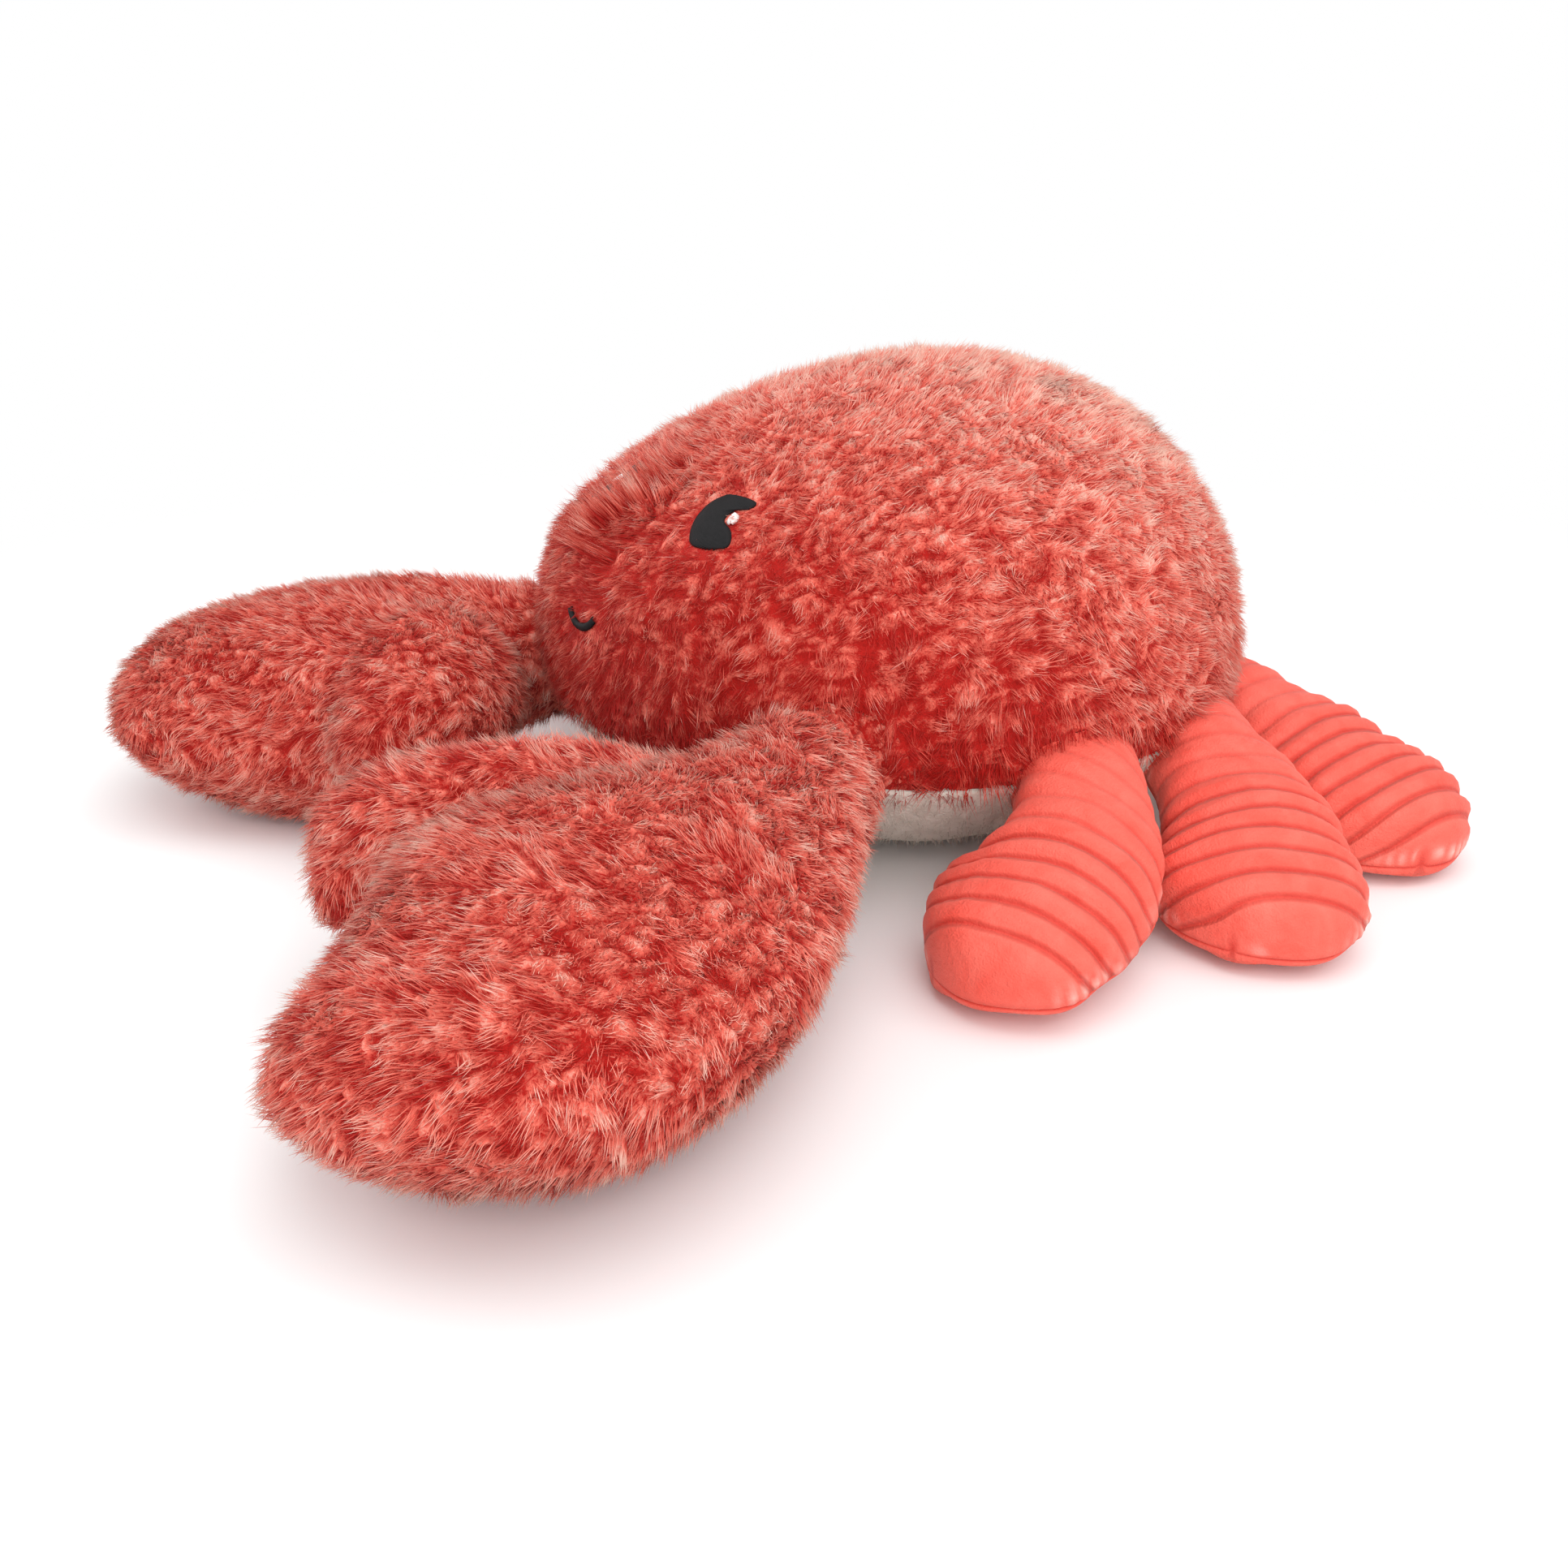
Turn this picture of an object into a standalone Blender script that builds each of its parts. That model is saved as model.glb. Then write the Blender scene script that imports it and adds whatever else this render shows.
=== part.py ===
"""A stuffed crab: a domed fur body on a pale belly, two mitten claws and six ribbed legs.

The crab faces -Y, its left side is +X, and it rests on z = 0 on the flat of its belly.
Every soft part is a sewn cover over its own filling. A cover is the outer form with the
inner form cut out of it, and the open end of a limb is cut to the body that it is sewn to.
All sizes are in metres.
"""

import math

import bmesh
import bpy
from mathutils import Matrix, Vector

# Body: a dome of fur sewn to a belly panel along a level seam
BODY_WIDTH = 0.176
BODY_LENGTH = 0.172
WIDEST_HEIGHT = 0.041
SHELL_RISE = 0.064
BACK_RISE = 0.22
FACE_FULLNESS = 0.35
BELLY_FLAT = 0.87
SEAM_HEIGHT = 0.027

# Cloth and the clearance between touching pieces
FUR_THICKNESS = 0.005
BELLY_THICKNESS = 0.003
VELOUR_THICKNESS = 0.0018
GAP = 0.0003

# Claws: one tube for the arm, palm and big finger, and one for the thumb
CLAW_PATH = (
    (0.046, -0.042, 0.031),
    (0.064, -0.082, 0.034),
    (0.112, -0.138, 0.020),
    (0.080, -0.191, 0.023),
)
CLAW_WIDTHS = (0.034, 0.037, 0.054, 0.083, 0.090, 0.074)
CLAW_THICKNESSES = (0.032, 0.034, 0.042, 0.046, 0.045, 0.039)
THUMB_PATH = (
    (0.072, -0.101, 0.026),
    (0.034, -0.107, 0.033),
    (0.034, -0.163, 0.024),
)
THUMB_WIDTHS = (0.034, 0.037, 0.037, 0.033)
THUMB_THICKNESSES = (0.034, 0.039, 0.039, 0.035)
CLAW_ROLL = 9
CLAW_SWINGS = (6, 10)
CLAW_STRETCH_RATIOS = (1, 0.81)
CLAW_LENS = 1.1
CLAW_CAP = 0.28

# Legs: three crescents on each side, from the front to the back
LEG_ROOT_ANGLES = (-17, 13, 44)
LEG_TIPS = ((0.100, -0.062), (0.125, -0.007), (0.120, 0.058))
LEG_BOWS = (0.030, 0.022, 0.014)
LEG_SAG = 0.0072
LEG_SINK = 0.020
LEG_WIDTHS = (0.029, 0.032, 0.039, 0.045, 0.045)
LEG_THICKNESSES = (0.018, 0.020, 0.023, 0.023, 0.021)
LEG_ROOT_HEIGHT = 0.021
LEG_FLATNESS = 0.5
LEG_BLUNTNESS = 4
LEG_LENS = 0.75
LEG_CAP = 0.26
RIB_PITCH = 0.0060
RIB_DEPTH = 0.0011

# Face: embroidery sunk into the fur
EYE_ANGLE = 20
EYE_HEIGHT = 0.079
EYE_SINK = 0.0022
EYE_THICKNESS = 0.0014
EYE_OUTLINE = (
    (0.0048, 0.0081),
    (-0.0012, 0.0092),
    (-0.0054, 0.0064),
    (-0.0063, 0.0012),
    (-0.0049, -0.0036),
    (-0.0024, -0.0064),
    (0.0026, -0.0068),
    (0.0066, -0.0055),
    (0.0066, -0.0036),
    (0.0053, -0.0016),
    (0.0022, 0.0008),
    (0.0026, 0.0030),
    (0.0052, 0.0056),
)
HIGHLIGHT_CENTRE = (0.0034, 0.0020)
HIGHLIGHT_SIZE = (0.0012, 0.0015)
MOUTH_HEIGHT = 0.053
MOUTH_RADIUS = 0.0072
MOUTH_SPAN = 102
MOUTH_LINE = 0.0016

REACH = 0.4

for old in list(bpy.data.objects):
    bpy.data.objects.remove(old)

parts = bpy.data.collections.new("plush_crab")
cutters = bpy.data.collections.new("cutters")
bpy.context.scene.collection.children.link(parts)
bpy.context.scene.collection.children.link(cutters)


# Materials
def material(name, colour, roughness):
    made = bpy.data.materials.new(name)
    made.use_nodes = True
    shader = made.node_tree.nodes["Principled BSDF"]
    shader.inputs["Base Color"].default_value = (*colour, 1)
    shader.inputs["Roughness"].default_value = roughness
    shader.inputs["Metallic"].default_value = 0
    return made


CORAL_FUR = material("coral_fur", (0.60, 0.13, 0.10), 0.9)
CREAM_PLUSH = material("cream_plush", (0.80, 0.74, 0.66), 0.9)
CORAL_VELOUR = material("coral_velour", (0.90, 0.16, 0.11), 0.7)
FIBREFILL = material("fibrefill", (0.86, 0.86, 0.84), 0.95)
BLACK_THREAD = material("black_thread", (0.006, 0.006, 0.007), 0.5)
WHITE_THREAD = material("white_thread", (0.75, 0.72, 0.70), 0.5)


# Objects and cuts
def add(name, mesh, finish=None):
    """A part with its material, or, with no material, a cutter."""
    made = bpy.data.objects.new(name, mesh)
    if finish is None:
        cutters.objects.link(made)
        made.hide_render = True
        made.display_type = "WIRE"
    else:
        parts.objects.link(made)
        made.data.materials.append(finish)
        mesh.shade_smooth()
        mesh.set_sharp_from_angle(angle=math.radians(40))
    return made


def change(target, tool, operation="DIFFERENCE"):
    step = target.modifiers.new(operation.lower(), "BOOLEAN")
    step.operation = operation
    step.object = tool
    step.solver = "EXACT"
    return target


def triangulated(bm):
    """The same diagonals on every form, so that one form lies wholly inside the next."""
    bmesh.ops.triangulate(bm, faces=bm.faces, quad_method="FIXED")
    return bm


def mesh_of(name, bm):
    mesh = bpy.data.meshes.new(name)
    bm.to_mesh(mesh)
    bm.free()
    return mesh


# The body's form
def body_point(direction, inset=0.0, belly_inset=None):
    """A unit direction carried onto the body. The dome is blunt at the face and high at the
    back, and the underside ends in a flat disc."""
    x, y, z = direction
    if z >= 0:
        height = (SHELL_RISE - inset) * z ** (1 + FACE_FULLNESS * min(0, y)) * (1 + BACK_RISE * y)
    else:
        drop = WIDEST_HEIGHT - (inset if belly_inset is None else belly_inset)
        height = -drop * min(1, -z / BELLY_FLAT)
    across = BODY_WIDTH / 2 - inset
    along = BODY_LENGTH / 2 - inset
    return Vector((across * x, along * y, WIDEST_HEIGHT + height))


def body_form(name, inset, belly_inset=None, around=30, rings=15):
    bm = bmesh.new()
    bmesh.ops.create_uvsphere(bm, u_segments=around, v_segments=rings, radius=1)
    for vert in bm.verts:
        vert.co = body_point(vert.co.normalized(), inset, belly_inset)
    return mesh_of(name, triangulated(bm))


def surface_frame(angle, height):
    """A matrix at the body's surface, at an angle round from the face and a height: its Z
    points out of the body, its Y up and its X away from the middle of the face."""
    turn = math.radians(angle)

    def at(tilt, more=0.0):
        level = Vector((math.sin(turn + more), -math.cos(turn + more), 0)) * math.cos(tilt)
        return body_point(level + Vector((0, 0, math.sin(tilt))))

    low, high = 0.0, math.pi / 2
    for _ in range(40):
        tilt = (low + high) / 2
        if at(tilt).z < height:
            low = tilt
        else:
            high = tilt
    step = 0.01
    sideways = (at(tilt, step) - at(tilt, -step)).normalized()
    upwards = at(tilt + step) - at(tilt - step)
    outwards = sideways.cross(upwards).normalized()
    upwards = outwards.cross(sideways)
    place = Matrix((sideways, upwards, outwards)).transposed().to_4x4()
    place.translation = at(tilt)
    return place


# Limbs: stuffed tubes along a curve
def bezier(points, s):
    points = [Vector(p) for p in points]
    while len(points) > 1:
        points = [a.lerp(b, s) for a, b in zip(points, points[1:])]
    return points[0]


def through(values, s):
    """A smooth curve through evenly spaced values, read at s from 0 to 1."""
    at = s * (len(values) - 1)
    i = min(int(at), len(values) - 2)
    t = at - i
    a, b, c, d = (values[min(max(k, 0), len(values) - 1)] for k in range(i - 1, i + 3))
    return b + 0.5 * t * (c - a + t * (2 * a - 5 * b + 4 * c - d + t * (3 * (b - c) + d - a)))


def path_length(path):
    marks = [bezier(path, i / 20) for i in range(21)]
    return sum((b - a).length for a, b in zip(marks, marks[1:]))


def tube_form(name, path, widths, thicknesses, lens, cap, roll, flat, blunt, inset, around, rings, ribs=0):
    """A closed tube along a curve, with a pillow section and rounded ends. The primitive is a
    ball: its height becomes the way along the tube and its longitude the way round it. The
    widest level lies below the middle by the flatness, and the bluntness keeps the thickness up
    to the end. An inner form starts a little before the outer one, so that it leaves the root
    open."""
    bm = bmesh.new()
    bmesh.ops.create_uvsphere(bm, u_segments=around, v_segments=rings, radius=1)
    start = -0.05 if inset else 0
    end = 1 - inset / path_length(path)
    for vert in bm.verts:
        x, y, z = vert.co.normalized()
        s = math.acos(max(-1, min(1, z))) / math.pi
        if not ribs:
            s = (1 - math.cos(s * math.pi)) / 2
        turn = math.atan2(y, x) if math.hypot(x, y) > 1e-6 else 0
        s = start + (end - start) * s
        ahead = (bezier(path, s + 0.01) - bezier(path, s - 0.01)).normalized()
        level = ahead.cross(Vector((0, 0, 1))).normalized()
        lean = math.radians(roll)
        side = level * math.cos(lean) + level.cross(ahead) * math.sin(lean)
        up = side.cross(ahead)
        past = max(0, s / end - (1 - cap)) / cap
        pole = 0 if abs(z) > 0.99999 else 1
        close = math.sqrt(max(0, 1 - past**2)) * pole
        blunt_close = max(0, 1 - past**blunt) ** (1 / blunt) * pole
        wide = (through(widths, s) / 2 - inset) * close
        thick = (through(thicknesses, s) / 2 * (1 + math.copysign(flat, math.sin(turn))) - inset) * blunt_close
        if ribs:
            rise = RIB_DEPTH / 2 * math.cos(2 * math.pi * ribs * s)
            wide += rise * close
            thick += rise * blunt_close
        rounding = math.copysign(abs(math.sin(turn)) ** lens, math.sin(turn))
        vert.co = bezier(path, s) + side * wide * math.cos(turn) + up * thick * rounding
    return mesh_of(name, triangulated(bm))


def mirrored(path, side):
    return tuple((side * x, y, z) for x, y, z in path)


def posed(path, degrees, reach):
    """A path turned about the upright through its first point, and drawn in or out along the
    ground."""
    spin = Matrix.Rotation(math.radians(degrees), 3, "Z") @ Matrix.Diagonal((reach, reach, 1))
    root = Vector(path[0])
    return tuple(root + spin @ (Vector(p) - root) for p in path)


# Flat outlines standing on the body's surface
def smooth_loop(points, steps=3):
    """A closed smooth line through the points."""
    count = len(points)
    loop = []
    for i in range(count):
        a, b, c, d = (Vector(points[(i + k) % count]) for k in range(-1, 3))
        for k in range(steps):
            t = k / steps
            loop.append(
                b + 0.5 * t * (c - a + t * (2 * a - 5 * b + 4 * c - d + t * (3 * (b - c) + d - a)))
            )
    return loop


def ellipse(centre, size, steps=12):
    turns = (2 * math.pi * k / steps for k in range(steps))
    return [Vector((centre[0] + size[0] * math.cos(t), centre[1] + size[1] * math.sin(t))) for t in turns]


def smile(radius, span, line, steps=8):
    """A band along the bottom of a circle, with its two edges line apart."""
    half = math.radians(span / 2)
    turns = [-math.pi / 2 - half + 2 * half * k / steps for k in range(steps + 1)]
    outer = [(radius + line / 2, t) for t in turns]
    inner = [(radius - line / 2, t) for t in reversed(turns)]
    return [Vector((r * math.cos(t), r * math.sin(t) + radius)) for r, t in outer + inner]


def prism(name, outline, place, grow=0.0, depth=0.012):
    """A flat outline drawn out through the body's surface, to both sides of it."""
    bm = bmesh.new()
    centre = sum(outline, Vector((0, 0))) / len(outline)
    verts = []
    for i, point in enumerate(outline):
        back, ahead = outline[i - 1], outline[(i + 1) % len(outline)]
        edge = (ahead - back).normalized()
        outward = Vector((edge.y, -edge.x))
        verts.append(bm.verts.new((*(point + outward * grow), -depth)))
    face = bm.faces.new(verts)
    top = bmesh.ops.extrude_face_region(bm, geom=[face])["geom"]
    for item in top:
        if isinstance(item, bmesh.types.BMVert):
            item.co.z = depth
    bmesh.ops.recalc_face_normals(bm, faces=bm.faces)
    bmesh.ops.transform(bm, matrix=place, verts=bm.verts)
    return mesh_of(name, bm)


def box(name, low, high):
    bm = bmesh.new()
    bmesh.ops.create_cube(bm, size=1)
    for vert in bm.verts:
        vert.co = Vector(h if c > 0 else l for c, l, h in zip(vert.co, low, high))
    return mesh_of(name, bm)


def flipped(outline, side):
    return [Vector((side * p.x, p.y)) for p in outline][:: 1 if side > 0 else -1]


# Body: fur shell, belly panel and filling
shell = add("shell", body_form("shell", 0), CORAL_FUR)
belly = add("belly", body_form("belly", 0), CREAM_PLUSH)
hollow = add("body_hollow", body_form("body_hollow", FUR_THICKNESS, BELLY_THICKNESS))
add(
    "body_filling",
    body_form("body_filling", FUR_THICKNESS + GAP, BELLY_THICKNESS + GAP),
    FIBREFILL,
)
half_gap = GAP / 2
below_seam = add("below_seam", box("below_seam", (-REACH, -REACH, -REACH), (REACH, REACH, SEAM_HEIGHT + half_gap)))
above_seam = add("above_seam", box("above_seam", (-REACH, -REACH, SEAM_HEIGHT - half_gap), (REACH, REACH, REACH)))
change(shell, hollow)
change(shell, below_seam)
change(belly, hollow)
change(belly, above_seam)

# The space that the body takes, which cuts the limbs' open ends
body_space = add("body_space", body_form("body_space", -GAP))


def cover_and_filling(name, cover_form, inner_form, filling_form, finish):
    """A cover cut hollow by the inner form, and its filling, both cut square to the body."""
    cover = add(name, cover_form, finish)
    inner = add(name + "_hollow", inner_form)
    filling = add(name + "_filling", filling_form, FIBREFILL)
    change(cover, inner)
    change(cover, body_space)
    change(filling, body_space)
    return cover


# Claws
def claw_form(name, side, inset, around, rings):
    """The big finger's tube with the thumb's tube joined to it, as one mesh."""
    which = 0 if side > 0 else 1
    whole_path = posed(mirrored(CLAW_PATH + THUMB_PATH, side), CLAW_SWINGS[which], CLAW_STRETCH_RATIOS[which])
    finger_path, thumb_path = whole_path[: len(CLAW_PATH)], whole_path[len(CLAW_PATH) :]
    roll = -side * CLAW_ROLL
    shape = (CLAW_WIDTHS, CLAW_THICKNESSES, CLAW_LENS, CLAW_CAP, roll, 0, 2)
    finger = tube_form(name, finger_path, *shape, inset, around, rings)
    shape = (THUMB_WIDTHS, THUMB_THICKNESSES, CLAW_LENS, CLAW_CAP, roll, 0, 2)
    thumb = tube_form(name + "_thumb", thumb_path, *shape, inset, around - 2, rings - 4)
    whole = change(add(name + "_form", finger), add(name + "_thumb_form", thumb), "UNION")
    bpy.context.view_layer.update()
    graph = bpy.context.evaluated_depsgraph_get()
    return bpy.data.meshes.new_from_object(whole.evaluated_get(graph))


for side, side_name in ((1, "left"), (-1, "right")):
    name = side_name + "_claw"
    cover_and_filling(
        name,
        claw_form(name, side, 0, 14, 15),
        claw_form(name + "_hollow", side, FUR_THICKNESS, 12, 11),
        claw_form(name + "_filling", side, FUR_THICKNESS + GAP, 12, 11),
        CORAL_FUR,
    )


# Legs
def leg_path(side, root_angle, tip, bow):
    """From inside the body, out over the seam and down to the ground, bowed to the back."""
    turn = math.radians(root_angle)
    edge = Vector((math.cos(turn) * BODY_WIDTH / 2, math.sin(turn) * BODY_LENGTH / 2, LEG_ROOT_HEIGHT))
    end = Vector((*tip, LEG_THICKNESSES[-1] / 2 * (1 - LEG_FLATNESS)))
    way = (end - edge).normalized()
    root = edge - way * LEG_SINK
    back = Vector((-way.y, way.x, 0)) * bow
    knee = root.lerp(end, 0.5) + back - Vector((0, 0, LEG_SAG))
    return mirrored((root, knee, end), side)


for side, side_name in ((1, "left"), (-1, "right")):
    for number, (root_angle, tip, bow) in enumerate(zip(LEG_ROOT_ANGLES, LEG_TIPS, LEG_BOWS), 1):
        name = f"{side_name}_leg_{number}"
        path = leg_path(side, root_angle, tip, bow)
        form = (path, LEG_WIDTHS, LEG_THICKNESSES, LEG_LENS, LEG_CAP, 0, LEG_FLATNESS, LEG_BLUNTNESS)
        ribs = round(path_length(path) / RIB_PITCH)
        cover_and_filling(
            name,
            tube_form(name, *form, 0, 10, 2 * ribs, ribs),
            tube_form(name + "_hollow", *form, VELOUR_THICKNESS, 8, 8),
            tube_form(name + "_filling", *form, VELOUR_THICKNESS + GAP, 8, 8),
            CORAL_VELOUR,
        )


# Face: each stitched shape lies in a pocket of the shell
stitch_top = add("stitch_top", body_form("stitch_top", EYE_SINK))
stitch_back = add("stitch_back", body_form("stitch_back", EYE_SINK + EYE_THICKNESS))
pocket_back = add("pocket_back", body_form("pocket_back", EYE_SINK + EYE_THICKNESS + GAP))


def stitched(name, outline, place, finish):
    """A thin pad that follows the body's surface, in its pocket in the shell."""
    pad = add(name, prism(name, outline, place), finish)
    change(pad, stitch_top, "INTERSECT")
    change(pad, stitch_back)
    pocket = add(name + "_pocket", prism(name + "_pocket", outline, place, GAP))
    change(pocket, pocket_back)
    change(shell, pocket)
    return pad


for side, side_name in ((1, "left"), (-1, "right")):
    place = surface_frame(side * EYE_ANGLE, EYE_HEIGHT)
    eye_outline = flipped(smooth_loop(EYE_OUTLINE), side)
    spot_outline = flipped(ellipse(HIGHLIGHT_CENTRE, HIGHLIGHT_SIZE), side)
    eye = stitched(side_name + "_eye", eye_outline, place, BLACK_THREAD)
    spot = stitched(side_name + "_eye_highlight", spot_outline, place, WHITE_THREAD)
    around_spot = prism(side_name + "_highlight_room", spot_outline, place, GAP)
    change(eye, add(side_name + "_highlight_room", around_spot))

stitched("mouth", smile(MOUTH_RADIUS, MOUTH_SPAN, MOUTH_LINE), surface_frame(0, MOUTH_HEIGHT), BLACK_THREAD)
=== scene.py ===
# %% [markdown]
# # A stuffed crab
# The crab is one soft toy: a domed body in long coral fur, two fur mittens for claws, six
# velour legs with sewn ribs, a pale belly and a small embroidered face. The solids of the
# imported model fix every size. This lesson dresses them in cloth, and keeps each piece in the
# place of its solid.
#
# Fur could be a hair system, but hair is not kept when the model is exported. Here each tuft
# is a bunch of thin closed spikes in one mesh, worked out as whole arrays.

import math

import bpy
import numpy as np
from mathutils import Matrix


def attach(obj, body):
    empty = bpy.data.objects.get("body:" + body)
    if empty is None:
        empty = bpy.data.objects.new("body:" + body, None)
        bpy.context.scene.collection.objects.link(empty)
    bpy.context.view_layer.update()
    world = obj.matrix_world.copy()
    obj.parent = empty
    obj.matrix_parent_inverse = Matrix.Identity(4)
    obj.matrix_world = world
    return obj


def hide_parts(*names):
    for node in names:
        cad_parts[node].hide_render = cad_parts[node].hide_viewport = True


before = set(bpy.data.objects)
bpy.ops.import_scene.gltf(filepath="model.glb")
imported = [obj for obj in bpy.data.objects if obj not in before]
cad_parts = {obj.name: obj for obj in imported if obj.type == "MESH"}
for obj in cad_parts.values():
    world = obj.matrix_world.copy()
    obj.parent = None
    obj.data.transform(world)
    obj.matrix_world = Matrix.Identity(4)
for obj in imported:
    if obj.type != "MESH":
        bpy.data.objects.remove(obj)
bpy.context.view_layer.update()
print("solids:", len(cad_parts))

# %% [markdown]
# ## The sizes of the toy
# The scene can't read the file that made the solids, so their sizes and formulas are repeated
# here, in metres. The crab faces -Y and rests on z = 0. Only the ribs are half a millimetre
# farther apart than in the solids, as the photograph shows them.

# %% Sizes
BODY_WIDTH, BODY_LENGTH = 0.176, 0.172
WIDEST_HEIGHT, SHELL_RISE = 0.041, 0.064
BACK_RISE, FACE_FULLNESS = 0.22, 0.35
BELLY_FLAT, SEAM_HEIGHT = 0.87, 0.027
CLAW_PATH = (
    (0.046, -0.042, 0.031), (0.064, -0.082, 0.034), (0.112, -0.138, 0.020), (0.080, -0.191, 0.023),
)
CLAW_WIDTHS = (0.034, 0.037, 0.054, 0.083, 0.090, 0.074)
CLAW_THICKNESSES = (0.032, 0.034, 0.042, 0.046, 0.045, 0.039)
THUMB_PATH = ((0.072, -0.101, 0.026), (0.034, -0.107, 0.033), (0.034, -0.163, 0.024))
THUMB_WIDTHS = (0.034, 0.037, 0.037, 0.033)
THUMB_THICKNESSES = (0.034, 0.039, 0.039, 0.035)
CLAW_ROLL, CLAW_SWINGS, CLAW_STRETCH_RATIOS = 9, (6, 10), (1, 0.81)
CLAW_LENS, CLAW_CAP = 1.1, 0.28
LEG_ROOT_ANGLES = (-17, 13, 44)
LEG_TIPS = ((0.100, -0.062), (0.125, -0.007), (0.120, 0.058))
LEG_BOWS = (0.030, 0.022, 0.014)
LEG_SAG, LEG_SINK, LEG_ROOT_HEIGHT = 0.0072, 0.020, 0.021
LEG_WIDTHS = (0.029, 0.032, 0.039, 0.045, 0.045)
LEG_THICKNESSES = (0.018, 0.020, 0.023, 0.023, 0.021)
LEG_FLATNESS, LEG_BLUNTNESS, LEG_LENS, LEG_CAP = 0.5, 4, 0.75, 0.26
RIB_PITCH = 0.0065
FLEECE_DEPTH, TUFT = 0.0027, 0.0036

# %% [markdown]
# ## The body's form
# The body is a ball of directions, each carried out to a dome that is blunt at the face and
# high at the back. One function places points on it, and a second one says whether a point is
# inside it, which keeps fur and limbs out of each other.


# %% The body's form
def body_surface(way, inset, belly_inset=0.0012):
    """Unit directions (x, y, z) to points: x and y times the half sizes, and for the height,
    z to a power that falls towards the face, times the rise, times one plus the back's share.
    Below the widest level the height falls evenly to a flat disc."""
    x, y, z = way.T
    lift = np.maximum(z, 0) ** (1 + FACE_FULLNESS * np.minimum(y, 0))
    dome = (SHELL_RISE - inset) * lift * (1 + BACK_RISE * y)
    bowl = -(WIDEST_HEIGHT - belly_inset) * np.minimum(1, -np.minimum(z, 0) / BELLY_FLAT)
    height = np.where(z >= 0, dome, bowl)
    half_width, half_length = BODY_WIDTH / 2 - inset, BODY_LENGTH / 2 - inset
    return np.stack([half_width * x, half_length * y, WIDEST_HEIGHT + height], 1)


def body_depth(points, inset=0.0):
    """Below zero inside the body: the squares of the direction that a point came from, added
    up, less one. It turns the formula of body_surface round."""
    x = points[:, 0] / (BODY_WIDTH / 2 - inset)
    y = points[:, 1] / (BODY_LENGTH / 2 - inset)
    h = points[:, 2] - WIDEST_HEIGHT
    lift = np.maximum(h, 0) / ((SHELL_RISE - inset) * (1 + BACK_RISE * np.clip(y, -1, 1)))
    up = lift ** (1 / (1 + FACE_FULLNESS * np.clip(y, -1, 0)))
    down = BELLY_FLAT * -np.minimum(h, 0) / (WIDEST_HEIGHT - inset)
    down = np.where(down > BELLY_FLAT, 3.0, down)
    return x**2 + y**2 + np.where(h >= 0, up, down) ** 2 - 1


def onto_body(points, way, inset, reach=0.02):
    """Points moved along a direction to the body's surface, by halving the step 24 times."""
    low, high = -reach * np.ones(len(points)), reach * np.ones(len(points))
    for _ in range(24):
        middle = (low + high) / 2
        inside = body_depth(points + way * middle[:, None], inset) < 0
        low, high = np.where(inside, middle, low), np.where(inside, high, middle)
    return points + way * ((low + high) / 2)[:, None]


# %% [markdown]
# ## Smooth noise and smooth steps
# Stuffing and fur are never even. A sum of sine waves that run in random directions gives a
# smooth, repeatable unevenness for whole arrays at once. Bells and smooth steps blend one place
# into the next.


# %% Smooth noise and smooth steps
def unevenness(points, size, seed):
    """A smooth value about -1 to 1: twelve sine waves of about the given wavelength, each in
    its own random direction, added and scaled."""
    rng = np.random.default_rng(seed)
    ways = rng.normal(size=(12, 3))
    ways /= np.linalg.norm(ways, axis=1)[:, None]
    waves = ways * (2 * math.pi / size * rng.uniform(0.7, 1.5, 12))[:, None]
    return np.sin(points @ waves.T + rng.uniform(0, 2 * math.pi, 12)).sum(1) / 3.2


def bell(value, middle, width):
    """One at the middle and about a third a width away: e to the minus square."""
    return np.exp(-(((value - middle) / width) ** 2))


def smooth_step(value, low, high):
    """Zero below low, one above high, and t * t * (3 - 2 * t) between them."""
    t = np.clip((value - low) / (high - low), 0, 1)
    return t * t * (3 - 2 * t)


def unit(vectors):
    """The vectors at length one."""
    return vectors / np.maximum(np.linalg.norm(vectors, axis=-1, keepdims=True), 1e-12)


# %% [markdown]
# ## Limbs as tubes
# An arm, a thumb or a leg is a stuffed tube: a closed pillow section carried along a curve. The
# same measures that draw the tube also tell how far along and how deep in it a point lies.


# %% Curves
def bezier(path, s):
    """The curve of a control polygon, by repeated halfway points, for an array of s."""
    points = [np.asarray(p, float)[None, :] for p in path]
    while len(points) > 1:
        points = [a + (b - a) * s[:, None] for a, b in zip(points, points[1:])]
    return points[0] * np.ones((len(s), 1))


def spline(a, b, c, d, t):
    """The smooth curve from b to c, for t from 0 to 1, with slopes that look at a and d."""
    return b + 0.5 * t * (c - a + t * (2 * a - 5 * b + 4 * c - d + t * (3 * (b - c) + d - a)))


def through(values, s):
    """A smooth curve through evenly spaced values, read at s from 0 to 1."""
    values = np.asarray(values, float)
    at = np.clip(s, 0, None) * (len(values) - 1)
    i = np.clip(at.astype(int), 0, len(values) - 2)
    near = (values[np.clip(i + k, 0, len(values) - 1)] for k in (-1, 0, 1, 2))
    return spline(*near, at - i)


def mirrored(path, side):
    """The path with its x times the side, which is 1 on the left and -1 on the right."""
    return tuple((side * x, y, z) for x, y, z in path)


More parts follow.
